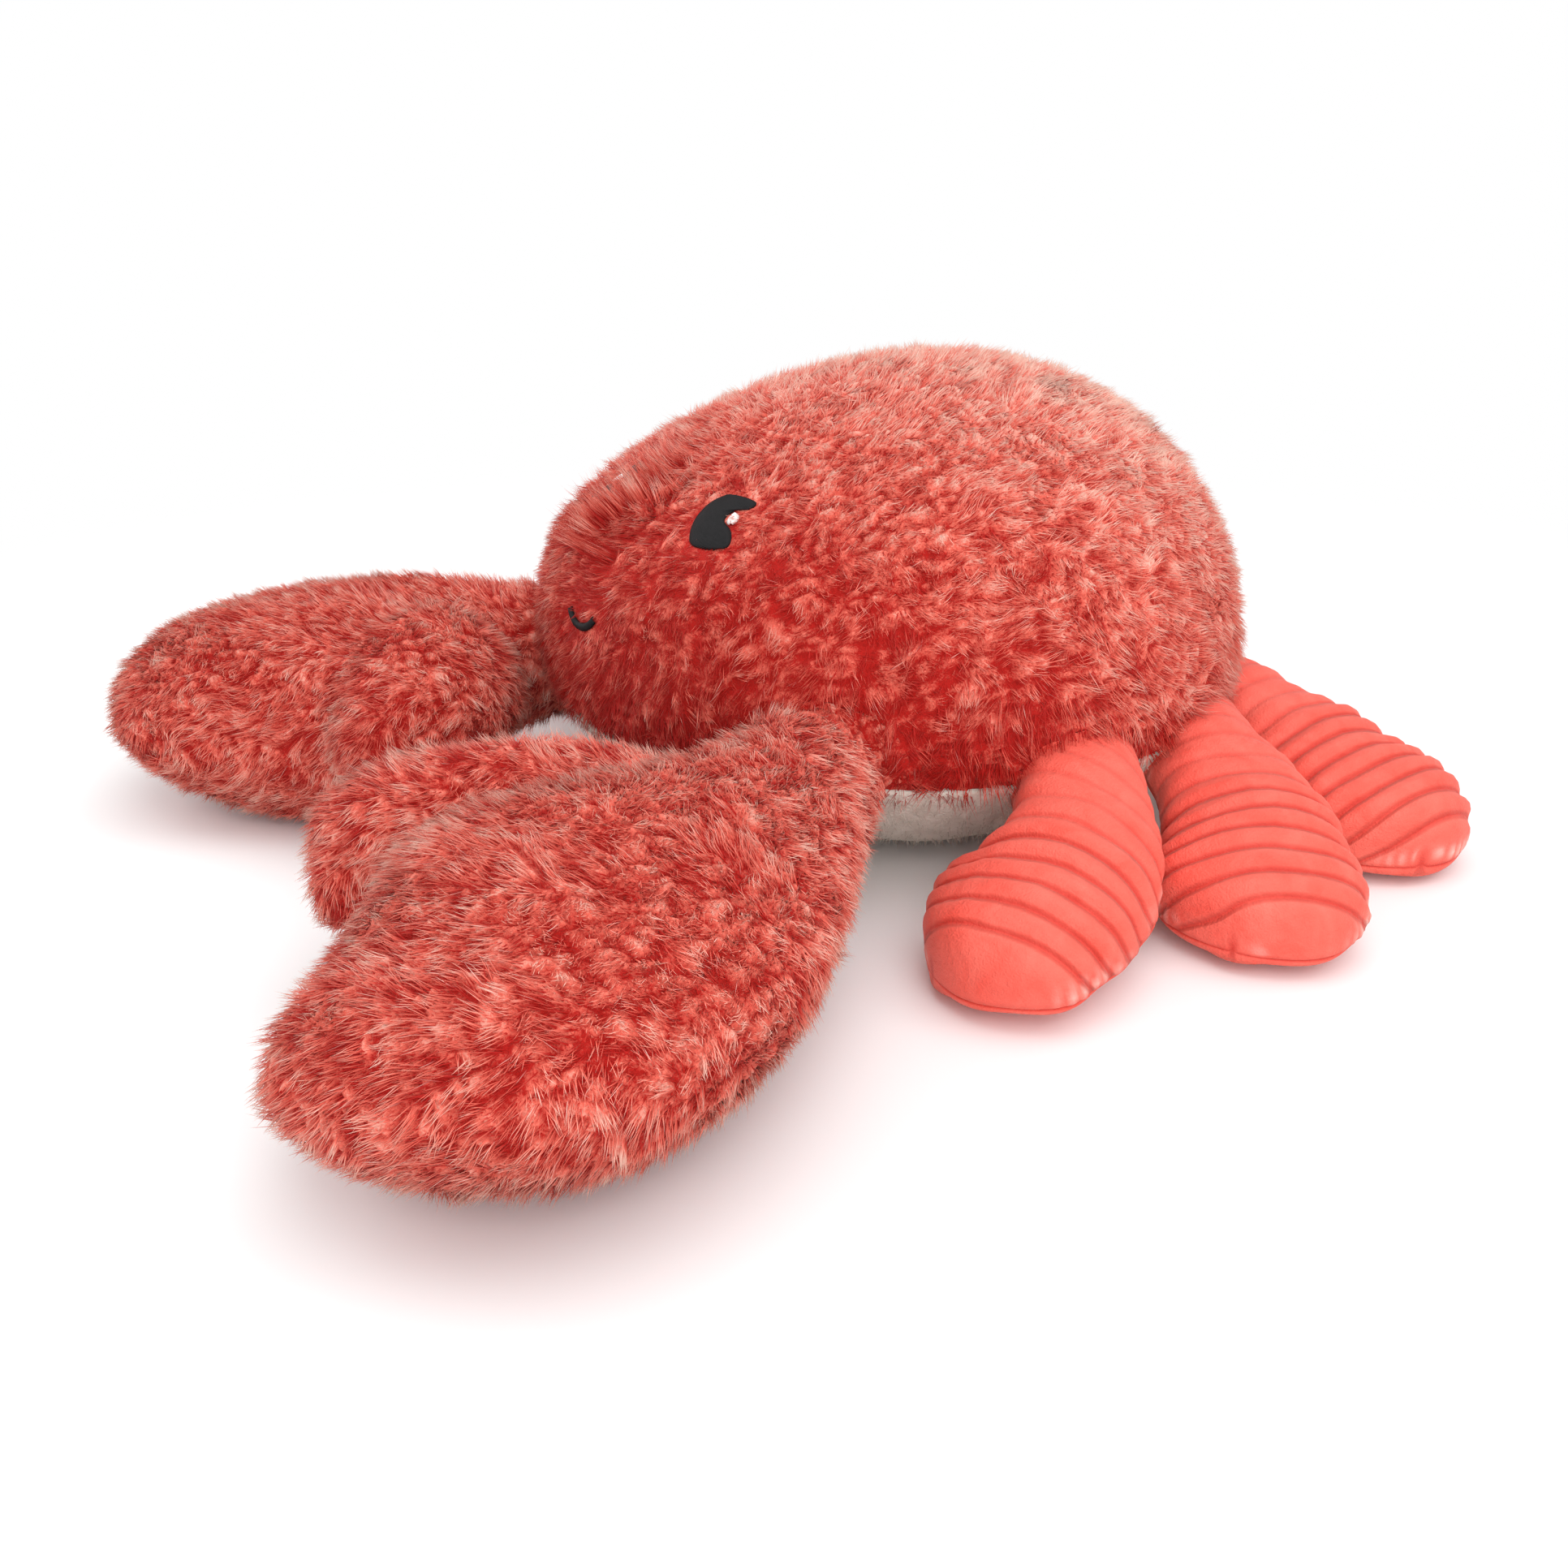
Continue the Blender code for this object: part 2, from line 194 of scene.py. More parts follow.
def posed(path, degrees, reach):
    """A path turned about the upright through its first point, and drawn in along the floor."""
    turn = math.radians(degrees)
    cos, sin = math.cos(turn) * reach, math.sin(turn) * reach
    x0, y0 = path[0][:2]
    return tuple(
        (x0 + cos * (x - x0) - sin * (y - y0), y0 + sin * (x - x0) + cos * (y - y0), z)
        for x, y, z in path
    )


# %% Tubes
class Tube:
    """A stuffed tube: its path, its widths and thicknesses, and how it closes at its end."""

    def __init__(self, path, widths, thicknesses, lens, cap, roll, flat, blunt=2):
        self.path, self.widths, self.thicknesses, self.blunt = path, widths, thicknesses, blunt
        self.lens, self.cap, self.roll, self.flat = lens, cap, math.radians(roll), flat
        marks = bezier(path, np.linspace(0, 1, 41))
        self.length = np.linalg.norm(np.diff(marks, axis=0), axis=1).sum()

    def axes(self, s):
        """The middle of the tube and its ahead, side and up directions at s."""
        ahead = unit(bezier(self.path, s + 0.01) - bezier(self.path, s - 0.01))
        level = unit(np.cross(ahead, (0.0, 0.0, 1.0)))
        side = level * math.cos(self.roll) + np.cross(level, ahead) * math.sin(self.roll)
        return bezier(self.path, s), ahead, side, np.cross(side, ahead)

    def sizes(self, s, end, inset):
        """Half the width and half the thickness at s. The width closes as a quarter ellipse and
        the thickness as a squarer one, so that the end is blunt."""
        past = np.clip(s / end - (1 - self.cap), 0, 1) / self.cap
        past = np.minimum(past, 1)
        close = (1 - past**self.blunt) ** (1 / self.blunt)
        return (
            (through(self.widths, s) / 2 - inset) * np.sqrt(1 - past**2),
            (through(self.thicknesses, s) / 2 - inset) * close,
            close,
        )

    def place(self, s, turn, inset, rise=0.0):
        """Points on the tube: the middle, plus side times the width and the cosine of the turn,
        plus up times the thickness and the lens power of its sine. The upper half is thicker
        than the lower one by the flatness."""
        end = 1 - inset / self.length
        middle, _, side, up = self.axes(s * end)
        wide, thick, close = self.sizes(s * end, end, inset)
        sine = np.sin(turn)
        thick = thick + np.sign(sine) * self.flat * through(self.thicknesses, s * end) / 2 * close
        rounding = np.sign(sine) * np.abs(sine) ** self.lens
        out = unit(side * np.cos(turn)[:, None] + up * rounding[:, None])
        across, over = side * (wide * np.cos(turn))[:, None], up * (thick * rounding)[:, None]
        return middle + across + over + out * rise

    def nearest(self, points, steps=48):
        """How far along the tube each point lies, and its depth: below one inside."""
        s = np.linspace(0, 1, steps)
        middle, ahead, side, up = self.axes(s)
        gap = np.linalg.norm(points[:, None, :] - middle[None], axis=2)
        at = gap.argmin(1)
        wide, thick, _ = self.sizes(np.minimum(s, 0.97), 1, 0)
        local = points - middle[at]
        across, over = (local * side[at]).sum(1), (local * up[at]).sum(1)
        at_end = (at == 0) | (at == steps - 1)
        beyond = np.where(at_end, np.abs((local * ahead[at]).sum(1)) / 0.003, 0)
        thick = thick[at] * (1 + np.sign(over) * self.flat)
        return s[at], np.sqrt((across / wide[at]) ** 2 + (over / thick) ** 2 + beyond**2), ahead[at]


# %% The limbs of this crab
def claw_tubes(side):
    """The finger's tube and the thumb's. Both claws have one pattern, and each is swung and
    drawn in by its own amount."""
    which = 0 if side > 0 else 1
    swing, reach = CLAW_SWINGS[which], CLAW_STRETCH_RATIOS[which]
    whole = posed(mirrored(CLAW_PATH + THUMB_PATH, side), swing, reach)
    finger, thumb = whole[: len(CLAW_PATH)], whole[len(CLAW_PATH) :]
    shape = (CLAW_LENS, CLAW_CAP, -side * CLAW_ROLL, 0)
    return (
        Tube(finger, CLAW_WIDTHS, CLAW_THICKNESSES, *shape),
        Tube(thumb, THUMB_WIDTHS, THUMB_THICKNESSES, *shape),
    )


def leg_tube(side, root_angle, tip, bow):
    """From inside the body, out over the seam and down to the floor, bowed to the back."""
    turn = math.radians(root_angle)
    half_width, half_length = math.cos(turn) * BODY_WIDTH / 2, math.sin(turn) * BODY_LENGTH / 2
    edge = np.array((half_width, half_length, LEG_ROOT_HEIGHT))
    end = np.array((*tip, LEG_THICKNESSES[-1] / 2 * (1 - LEG_FLATNESS)))
    way = unit(end - edge)
    root = edge - way * LEG_SINK
    knee = (root + end) / 2 + np.array((-way[1], way[0], 0)) * bow - np.array((0, 0, LEG_SAG))
    shape = (LEG_LENS, LEG_CAP, 0, LEG_FLATNESS, LEG_BLUNTNESS)
    return Tube(mirrored((root, knee, end), side), LEG_WIDTHS, LEG_THICKNESSES, *shape)


SIDES = (("left", 1), ("right", -1))
claws = {name: claw_tubes(side) for name, side in SIDES}
legs = {
    f"{name}_leg_{n}": leg_tube(side, angle, tip, bow)
    for name, side in SIDES
    for n, (angle, tip, bow) in enumerate(zip(LEG_ROOT_ANGLES, LEG_TIPS, LEG_BOWS), 1)
}
limbs = [tube for pair in claws.values() for tube in pair] + list(legs.values())
for name, tube in legs.items():
    print(name, "is", round(tube.length * 1000), "mm along")

# %% [markdown]
# ## Meshes from arrays
# Each surface is a grid of points that closes round the tube, with its two ends drawn together.


# %% Mesh helpers
def new_piece(name, points, faces, material):
    """An object at the origin with its place in its mesh, riding on the toy."""
    points, faces = np.asarray(points, np.float32), np.asarray(faces, np.int32)
    mesh = bpy.data.meshes.new(name)
    mesh.vertices.add(len(points))
    mesh.vertices.foreach_set("co", points.ravel())
    mesh.loops.add(faces.size)
    mesh.loops.foreach_set("vertex_index", faces.ravel())
    mesh.polygons.add(len(faces))
    mesh.polygons.foreach_set("loop_start", np.arange(len(faces), dtype=np.int32) * faces.shape[1])
    mesh.update(calc_edges=True)
    mesh.shade_smooth()
    mesh.materials.append(material)
    piece = bpy.data.objects.new(name, mesh)
    bpy.context.scene.collection.objects.link(piece)
    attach(piece, "root")
    return piece


def vectors_of(piece, what="co"):
    """A vector for each point of a mesh: its place, or its "normal"."""
    values = np.empty(len(piece.data.vertices) * 3, np.float32)
    piece.data.vertices.foreach_get(what, values)
    return values.reshape(-1, 3).astype(float)


def put_points(piece, points):
    """New places for all the points of a mesh."""
    piece.data.vertices.foreach_set("co", points.astype(np.float32).ravel())
    piece.data.update()


def note(piece, name, values):
    """Three values for each point, for the material to read."""
    attribute = piece.data.attributes.new(name, "FLOAT_VECTOR", "POINT")
    attribute.data.foreach_set("vector", values.astype(np.float32).ravel())


def grid_faces(rows, around):
    """Quads between neighbouring rings of a tube that runs from its root to its tip."""
    i, j = np.meshgrid(np.arange(rows - 1), np.arange(around), indexing="ij")
    k = (j + 1) % around
    here, there = i * around, (i + 1) * around
    return np.stack([here + j, here + k, there + k, there + j], -1).reshape(-1, 4)


def ring_of(across, over, corners):
    """Rings of radius one: across times the cosine, plus over times the sine."""
    turn = np.arange(corners) * 2 * math.pi / corners
    cos, sin = np.cos(turn)[:, None], np.sin(turn)[:, None]
    return across[..., None, :] * cos + over[..., None, :] * sin


def outward(points, faces):
    """The faces, turned round where the closed shape's volume comes out below zero."""
    p = points[faces]
    volume = np.einsum("ij,ij->i", p[:, 0], np.cross(p[:, 1], p[:, 2])).sum()
    if faces.shape[1] == 4:
        volume += np.einsum("ij,ij->i", p[:, 0], np.cross(p[:, 2], p[:, 3])).sum()
    return faces if volume > 0 else faces[:, ::-1]


# %% [markdown]
# ## Finishes
# The fur is dyed one coral, but its roots lie in shade and its tips catch the light, and this is
# painted into the colour: it runs along each fibre from painted shade at the root to painted light
# at the tip, with painted shade at each tuft's edge, some fibres with a painted glint, and small
# changes from tuft to tuft. The velour of the legs has a short pile with a soft sheen, painted
# shade in its creases and where it is drawn into a seam, and painted glints on the seam's puckers.


# %% Material helpers
def linear(r, g, b):
    """A screen colour of 0 to 255 as the linear colour that a shader takes."""
    c = np.array((r, g, b)) / 255
    return (*np.where(c <= 0.04045, c / 12.92, ((c + 0.055) / 1.055) ** 2.4), 1)


class Nodes:
    """A short way to add nodes to a new material or world and to join them."""

    def __init__(self, name, family=None):
        self.owner = (bpy.data.materials if family is None else family).new(name)
        self.owner.use_nodes = True
        self.tree = self.owner.node_tree
        self.shader = self.tree.nodes.get("Principled BSDF")

    def add(self, kind, inputs=(), **settings):
        node = self.tree.nodes.new("ShaderNode" + kind)
        for key, value in settings.items():
            setattr(node, key, value)
        for key, value in dict(inputs).items():
            self.join(value, node.inputs[key])
        return node

    def join(self, value, socket):
        if isinstance(value, bpy.types.NodeSocket):
            self.tree.links.new(value, socket)
        else:
            socket.default_value = value

    def set(self, **inputs):
        """Values or sockets for the shader, by the names of its inputs in small letters."""
        for key, value in inputs.items():
            name = key.replace("_", " ").title().replace("Ior", "IOR")
            self.join(value, self.shader.inputs[name])

    def attribute(self, name):
        """The three values that a piece carries at each point."""
        vector = self.add("Attribute", attribute_name=name).outputs["Vector"]
        return self.add("SeparateXYZ", {0: vector}).outputs

    def ramp(self, factor, *stops):
        node = self.add("ValToRGB", {0: factor})
        while len(node.color_ramp.elements) < len(stops):
            node.color_ramp.elements.new(0.5)
        for element, (at, colour) in zip(node.color_ramp.elements, stops):
            element.position, element.color = at, colour
        return node.outputs[0]

    def noise(self, scale, detail=3, distortion=0.0):
        where = self.add("TexCoord").outputs["Object"]
        inputs = {"Vector": where, "Scale": scale, "Detail": detail, "Distortion": distortion}
        return self.add("TexNoise", inputs).outputs["Fac"]

    def mix(self, factor, a, b):
        return self.add("Mix", {0: factor, 6: a, 7: b}, data_type="RGBA").outputs[2]

    def maths(self, operation, a, b=0.5, clamp=False):
        return self.add("Math", {0: a, 1: b}, operation=operation, use_clamp=clamp).outputs[0]

    def about(self, value, weight):
        """How far a value is from a half, times a weight."""
        return self.maths("MULTIPLY", self.maths("SUBTRACT", value), weight)

    def smooth_step(self, value, low, high):
        inputs = {"Value": value, "From Min": low, "From Max": high}
        return self.add("MapRange", inputs, interpolation_type="SMOOTHSTEP").outputs[0]

    def bump(self, height, strength, distance):
        inputs = {"Height": height, "Strength": strength, "Distance": distance}
        self.set(normal=self.add("Bump", inputs).outputs[0])


def grey(value):
    """A grey, as a linear colour."""
    return (value, value, value, 1)


# %% Fur and plush
def pile_finish(name, root, middle, tip, painted_glint, sheen, roughness, matted=False):
    """Fibre colour: a ramp from painted shade at the root to painted light at the tip, moved by
    tuft and by broad patches, and some fibres painted near white towards the tip as glints. The
    matted version is for the fleece under them: its ramp is moved by fine noise, and a bump stands
    for the fibres."""
    n = Nodes(name)
    pile = n.attribute("pile")
    at = n.maths("ADD", pile[1], n.about(n.noise(130, 3, 0.6), 0.75))
    at = n.maths("ADD", at, n.about(pile[2], 0.34))
    if matted:
        fine = n.noise(1500, 4, 1.2)
        at = n.maths("ADD", at, n.about(fine, 0.8))
        n.bump(n.maths("ADD", fine, n.noise(420, 3, 1.0)), 0.9, 0.0006)
    # The ramp: painted shade at the root, painted light at the tip.
    colour = n.ramp(at, (0.12, root), (0.5, middle), (1.0, tip))
    # Fibres whose first value is over 0.965 get a near white tip: a painted glint.
    glint_fibres = n.maths("GREATER_THAN", pile[0], 0.965)
    glint_fibres = n.maths("MULTIPLY", glint_fibres, n.maths("MULTIPLY", pile[1], 0.75, True))
    n.set(base_color=n.mix(glint_fibres, colour, painted_glint), roughness=roughness, specular_ior_level=0.2)
    n.set(sheen_weight=sheen, sheen_roughness=0.4, sheen_tint=tip)
    return n.owner


# Ramp colours at root, middle and tip, then the glint colour: the deep root is painted shade, the
# light tip painted light, the last a painted glint.
coral = (linear(182, 28, 22), linear(240, 113, 95), linear(250, 200, 182), linear(255, 224, 212))
cream_tones = (
    linear(196, 186, 172), linear(224, 216, 203), linear(238, 233, 223), linear(246, 243, 236),
)
fur = pile_finish("coral_fur", *coral, 0.12, 0.5)
fleece = pile_finish("coral_fleece", *coral, 0.12, 0.8, matted=True)
cream = pile_finish("cream_plush", *cream_tones, 0.15, 0.75)


# %% The cloth under the pile
def backing_finish(name, deep, light):
    """Woven cloth seen between the fibres: two mottled tones and a fine felt bump."""
    n = Nodes(name)
    n.set(base_color=n.ramp(n.noise(260, 4, 0.5), (0.3, deep), (0.7, light)), roughness=0.9)
    n.set(sheen_weight=0.2, sheen_roughness=0.5, sheen_tint=light)
    n.bump(n.noise(1400, 3), 0.8, 0.0006)
    return n.owner


cream_backing = backing_finish("cream_backing", linear(206, 197, 183), linear(233, 226, 214))
fibrefill = backing_finish("fibrefill", linear(228, 227, 222), linear(244, 243, 240))


# %% Velour and threads
def velour_finish():
    """Velour: coral on the crowns of the ribs, a thin line of painted shade in each crease, painted
    shade in the seam and a painted glint on its puckers, with streaks, painted light that makes one
    side of each rib lighter than the other, and a fine nap. The attribute rib gives how many ribs
    from the tip a point is, how strongly its ribs are drawn, and the seam's depth, below zero on a
    pucker."""
    n = Nodes("coral_velour")
    rib = n.attribute("rib")
    # Painted shade: a thin line in each crease, as strong as the ribs are drawn.
    line = n.maths("SUBTRACT", 1.0, n.smooth_step(n.maths("PINGPONG", rib[0]), 0.0, 0.2))
    crease = n.maths("MULTIPLY", line, rib[1])
    # Painted light across each rib: one side lighter than the other.
    rib_slope_light = n.maths("MULTIPLY", n.about(n.maths("FRACT", rib[0]), 0.35), rib[1])
    streaks_and_rib_light = n.maths("ADD", n.noise(130, 3, 0.8), rib_slope_light, True)
    crown = n.mix(streaks_and_rib_light, linear(238, 78, 62), linear(252, 124, 108))
    # The painted shade colour of the creases and the seam.
    deep = n.mix(streaks_and_rib_light, linear(190, 36, 28), linear(222, 64, 50))
    # The crown colour with a painted glint on the puckers.
    painted_glint = n.mix(n.maths("MULTIPLY", rib[2], -1.0, True), crown, linear(255, 206, 194))
    # The seam's painted shade.
    seam = n.maths("MAXIMUM", rib[2], 0.0)
    # All the painted shade, creases and seam together.
    painted_shade = n.maths("ADD", n.maths("MULTIPLY", crease, 0.75), seam, True)
    n.set(base_color=n.mix(painted_shade, painted_glint, deep), roughness=0.62, specular_ior_level=0.3)
    n.set(sheen_weight=0.25, sheen_roughness=0.35, sheen_tint=linear(255, 180, 165))
    nap = n.maths("ADD", n.noise(2600, 2), n.maths("MULTIPLY", n.noise(500, 3), 1.2))
    n.bump(n.maths("SUBTRACT", nap, n.maths("MULTIPLY", crease, 3.0)), 0.7, 0.0004)
    return n.owner


def thread_finish(name, deep, light, roughness):
    """Embroidery thread: two near tones along the thread and a fine twist."""
    n = Nodes(name)
    colour = n.ramp(n.noise(900, 3), (0.3, deep), (0.7, light))
    n.set(base_color=colour, roughness=roughness, specular_ior_level=0.25)
    n.bump(n.noise(4200, 2), 0.5, 0.0001)
    return n.owner


velour = velour_finish()
black_thread = thread_finish("black_thread", linear(5, 4, 6), linear(15, 13, 16), 0.6)
white_thread = thread_finish("white_thread", linear(226, 218, 214), linear(250, 247, 244), 0.5)
print("finishes:", len(bpy.data.materials))

# %% [markdown]
# ## Tufts
# The pile gathers in tufts a little under 4 mm across. They could be placed one by one. Here a
# cubic grid of cells is pushed about by smooth noise until its edges wander, and each cell is a
# tuft: its number gathers the fibres, and the distance from its edge raises the fleece into a
# soft lump.


# %% Tufts
def tufts(points, size, seed):
    """Each point's tuft number, and how far it is from the tuft's edge, 0 to 1: the product of
    the sines of its three fractions of a cell."""
    push = np.stack([unevenness(points, size * 3.2, seed + k) for k in range(3)], 1)
    wavy = points + 0.45 * size * push
    cells = np.floor(wavy / size).astype(np.int64)
    key = (cells[:, 0] * 73856093) ^ (cells[:, 1] * 19349663) ^ (cells[:, 2] * 83492791)
    middle = np.sin(math.pi * (wavy / size - cells)).prod(1) ** 0.5
    return np.unique(key, return_inverse=True)[1].ravel(), middle


def raise_tufts(piece, size, seed, lump, free=None, tone_and_painted_light=None):
    """Moves a fleece's points out by the lump where a tuft is full and in where tufts meet, and
    notes the fullness for the material, where it paints shade between the tufts, plus the painted
    light and shade that the last argument gives."""
    points, normals = vectors_of(piece), vectors_of(piece, "normal")
    _, middle = tufts(points, size, seed)
    share = free(points) if free else 1.0
    points += normals * (lump * (middle - 0.55) * share)[:, None]
    put_points(piece, points)
    full = 0.7 * middle + (tone_and_painted_light(points) if tone_and_painted_light else 0)
    note(piece, "pile", np.stack([np.full(len(points), 0.4), full, np.full(len(points), 0.5)], 1))


# %% [markdown]
# ## Body cloth
# The fleece at the bottom of the fur is a grid of directions over the dome, from the crown to
# the seam, raised into tufts once the face has its place. The belly panel is a second grid from
# the seam to the middle of the underside, flat where the crab sits.

# %% Body cloth
SHELL_GRID, BELLY_GRID, POLE = (100, 260), (40, 120), 0.9999
seam_z = (SEAM_HEIGHT - WIDEST_HEIGHT) / WIDEST_HEIGHT * BELLY_FLAT


def body_grid(top, bottom, inset, belly_inset, rows, around):
    """Directions on rings of equal slope from top to bottom, all carried onto the body."""
    tilt = np.linspace(math.asin(top), math.asin(bottom), rows)
    turn = np.arange(around) * 2 * math.pi / around
    t, a = (g.ravel() for g in np.meshgrid(tilt, turn, indexing="ij"))
    way = np.stack([np.cos(t) * np.sin(a), -np.cos(t) * np.cos(a), np.sin(t)], 1)
    return body_surface(way, inset, belly_inset)


def closed_ends(points, rows, around):
    """The grid's quads with a fan of thin quads over each end, to its middle point."""
    faces = grid_faces(rows, around)
    first, last = points[:around].mean(0), points[-around:].mean(0)
    points = np.vstack([points, first, last])
    j = np.arange(0, around, 2)
    k, m = (j + 1) % around, (j + 2) % around
    top = np.stack([np.full_like(j, len(points) - 2), m, k, j], 1)
    base = (rows - 1) * around
    bottom = np.stack([np.full_like(j, len(points) - 1), base + j, base + k, base + m], 1)
    faces = np.vstack([faces, top, bottom])
    return points, outward(points - points.mean(0), faces)


shell_points = body_grid(POLE, seam_z, FLEECE_DEPTH, FLEECE_DEPTH, *SHELL_GRID)
shell_points, shell_faces = closed_ends(shell_points, *SHELL_GRID)
shell_skin = new_piece("shell_fleece", shell_points, shell_faces, fleece)
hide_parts("shell")

belly_points = body_grid(seam_z + 0.02, -POLE, 0.0022, 0.0006, *BELLY_GRID)
belly_points[:, 2] += 0.0003 * unevenness(belly_points, 0.03, 5)
belly_points, belly_faces = closed_ends(belly_points, *BELLY_GRID)
belly_skin = new_piece("belly_panel", belly_points, belly_faces, cream_backing)
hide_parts("belly")
print("belly panel lowest:", round(float(belly_points[:, 2].min()) * 1000, 2), "mm")

# %% [markdown]
# ## Claw cloth
# Each claw is the arm, palm and big finger in one tube, with the thumb's tube beside it. On the
# real toy both are one sewn bag, blown tight by its stuffing. A voxel remesh joins the two
# closed tubes into one slack bag, a cloth simulation with pressure inside fills it, and
# subdivision smooths it. It could be left as tubes, but cloth rounds the crotch between finger
# and thumb as a real seam does. A finer form of the two tubes keeps the bag from shrinking at
# their tips, and the left palm, which is packed harder in the photograph, is filled further.


# %% Claw cloth
def tube_grid(tube, inset, rows, around):
    """A closed tube: rows that crowd towards both ends, and a point that closes each end."""
    s = (1 - np.cos(np.linspace(0.02, 1 - 0.004, rows) * math.pi)) / 2
    turn = np.arange(around) * 2 * math.pi / around
    ss, tt = (g.ravel() for g in np.meshgrid(s, turn, indexing="ij"))
    return closed_ends(tube.place(ss, tt, inset), rows, around)


def out_of_body(points, inset):
    """Points inside the body, moved straight away from its middle until they reach it."""
    middle = np.array((0.0, 0.0, 0.035))
    inside = body_depth(points, inset) < 0
    way = unit(points[inside] - middle)
    points[inside] = onto_body(middle + way * 0.05, way, inset, 0.055)
    return points


def taken(bag):
    """The shape that the modifiers give, kept as the mesh itself."""
    result = bag.evaluated_get(bpy.context.evaluated_depsgraph_get())
    whole = bpy.data.meshes.new_from_object(result)
    bag.modifiers.clear()
    old, bag.data = bag.data, whole
    bpy.data.meshes.remove(old)
    whole.name = bag.name
    whole.shade_smooth()


def joined(name, forms, voxel, smoothing):
    """Closed forms as one remeshed and smoothed surface."""
    starts = np.cumsum([0] + [len(p) for p, _ in forms])
    points = np.vstack([p for p, _ in forms])
    faces = np.vstack([f + start for (_, f), start in zip(forms, starts)])
    bag = new_piece(name, points, faces, fleece)
    remesh = bag.modifiers.new("remesh", "REMESH")
    remesh.mode, remesh.voxel_size = "VOXEL", voxel
    smooth = bag.modifiers.new("smooth", "SMOOTH")
    smooth.factor, smooth.iterations = 0.6, smoothing
    taken(bag)
    return bag


def stuffed(bag, most):
    """Cloth with pressure inside and no gravity, for 20 frames. Each point then goes the way
    that it was blown, but no further than the given length."""
    slack = vectors_of(bag)
    cloth = bag.modifiers.new("stuffing", "CLOTH")
    cloth.settings.use_pressure, cloth.settings.uniform_pressure_force = True, 4
    cloth.settings.effector_weights.gravity = 0
    cloth.point_cache.frame_start, cloth.point_cache.frame_end = 1, 20
    for number in range(1, 21):
        bpy.context.scene.frame_set(number)
    taken(bag)
    bpy.context.scene.frame_set(1)
    move = vectors_of(bag) - slack
    far = np.linalg.norm(move, axis=1, keepdims=True)
    print(bag.name, "was blown out by up to", round(float(far.max()) * 1000, 1), "mm")
    put_points(bag, slack + move * np.minimum(1, most / np.maximum(far, 1e-9)))
    finer = bag.modifiers.new("finer", "SUBSURF")
    finer.levels = finer.render_levels = 2
    taken(bag)


def kept_outside(bag, form):
    """Points of the bag that are inside the form are moved to its surface, and the form goes."""
    wrap = bag.modifiers.new("outside", "SHRINKWRAP")
    wrap.target, wrap.wrap_method, wrap.wrap_mode = form, "NEAREST_SURFACEPOINT", "OUTSIDE"
    taken(bag)
    mesh = form.data
    bpy.data.objects.remove(form)
    bpy.data.meshes.remove(mesh)


def fuller(points, bag, finger):
    """The left mitten is packed harder on its inner side: its palm is moved up to 2.5 mm that
    way, and points whose normals face in and up go up to 5 mm further. The share rises along
    the palm and falls again towards the fingertip, each time as a smooth step."""
    along = finger.nearest(points)[0]
    share = smooth_step(along, 0.35, 0.60) * (1 - 0.9 * smooth_step(along, 0.55, 0.95))
    inwards, bulge = np.array((-0.545, -0.839, 0.0)), unit(np.array((-0.545, -0.839, 0.7)))
    facing = np.clip(vectors_of(bag, "normal") @ bulge, 0, 1)
    return points + share[:, None] * (0.0025 * inwards + 0.0050 * bulge * facing[:, None])


CLAW_GRID, SLACK_DEPTH, BAG_VOXEL, FORM_VOXEL = (60, 64), 0.0016, 0.0050, 0.0020
LOWEST = 0.0004
claw_skins = {}
for name, side in SIDES:
    finger, thumb = claws[name]
    tight = [tube_grid(tube, FLEECE_DEPTH, *CLAW_GRID) for tube in (finger, thumb)]
    slack = [tube_grid(tube, SLACK_DEPTH, *CLAW_GRID) for tube in (finger, thumb)]
    form = joined(name + "_form", tight, FORM_VOXEL, 5)
    bag = joined(name + "_claw_fleece", slack, BAG_VOXEL, 1)
    along, depth, _ = finger.nearest(vectors_of(bag))
    thumb_along, thumb_depth, _ = thumb.nearest(vectors_of(bag))
    along = np.where(depth < thumb_depth, along, 0.3 + 0.7 * thumb_along)
    stuffed(bag, 0.0010 + 0.0045 * np.clip((along - 0.3) / 0.35, 0, 1)[:, None])
    kept_outside(bag, form)
    points = vectors_of(bag)
    if side > 0:
        points = fuller(points, bag, finger)
    points = out_of_body(points, 0.0032)
    points[:, 2] = np.maximum(points[:, 2], LOWEST)
    put_points(bag, points)
    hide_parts(name + "_claw")
    claw_skins[name] = bag
    print(name, "claw:", len(bag.data.polygons), "faces")

# %% [markdown]
# ## Fur
# Fur fibres grow in tufts that lean one way and draw together at their tips. Each fibre is a
# closed spike with three sides. Roots are spread evenly over the fleece, the tufts' cells gather
# them, and every fibre leans with its tuft along the lie of the fur.


# %% Spread the roots
def triangles_of(piece):
    """Corner points and corner normals of all the triangles of a mesh."""
    mesh = piece.data
    mesh.calc_loop_triangles()
    corners = np.empty(len(mesh.loop_triangles) * 3, np.int32)
    mesh.loop_triangles.foreach_get("vertices", corners)
    corners = corners.reshape(-1, 3)
    return vectors_of(piece)[corners], vectors_of(piece, "normal")[corners]


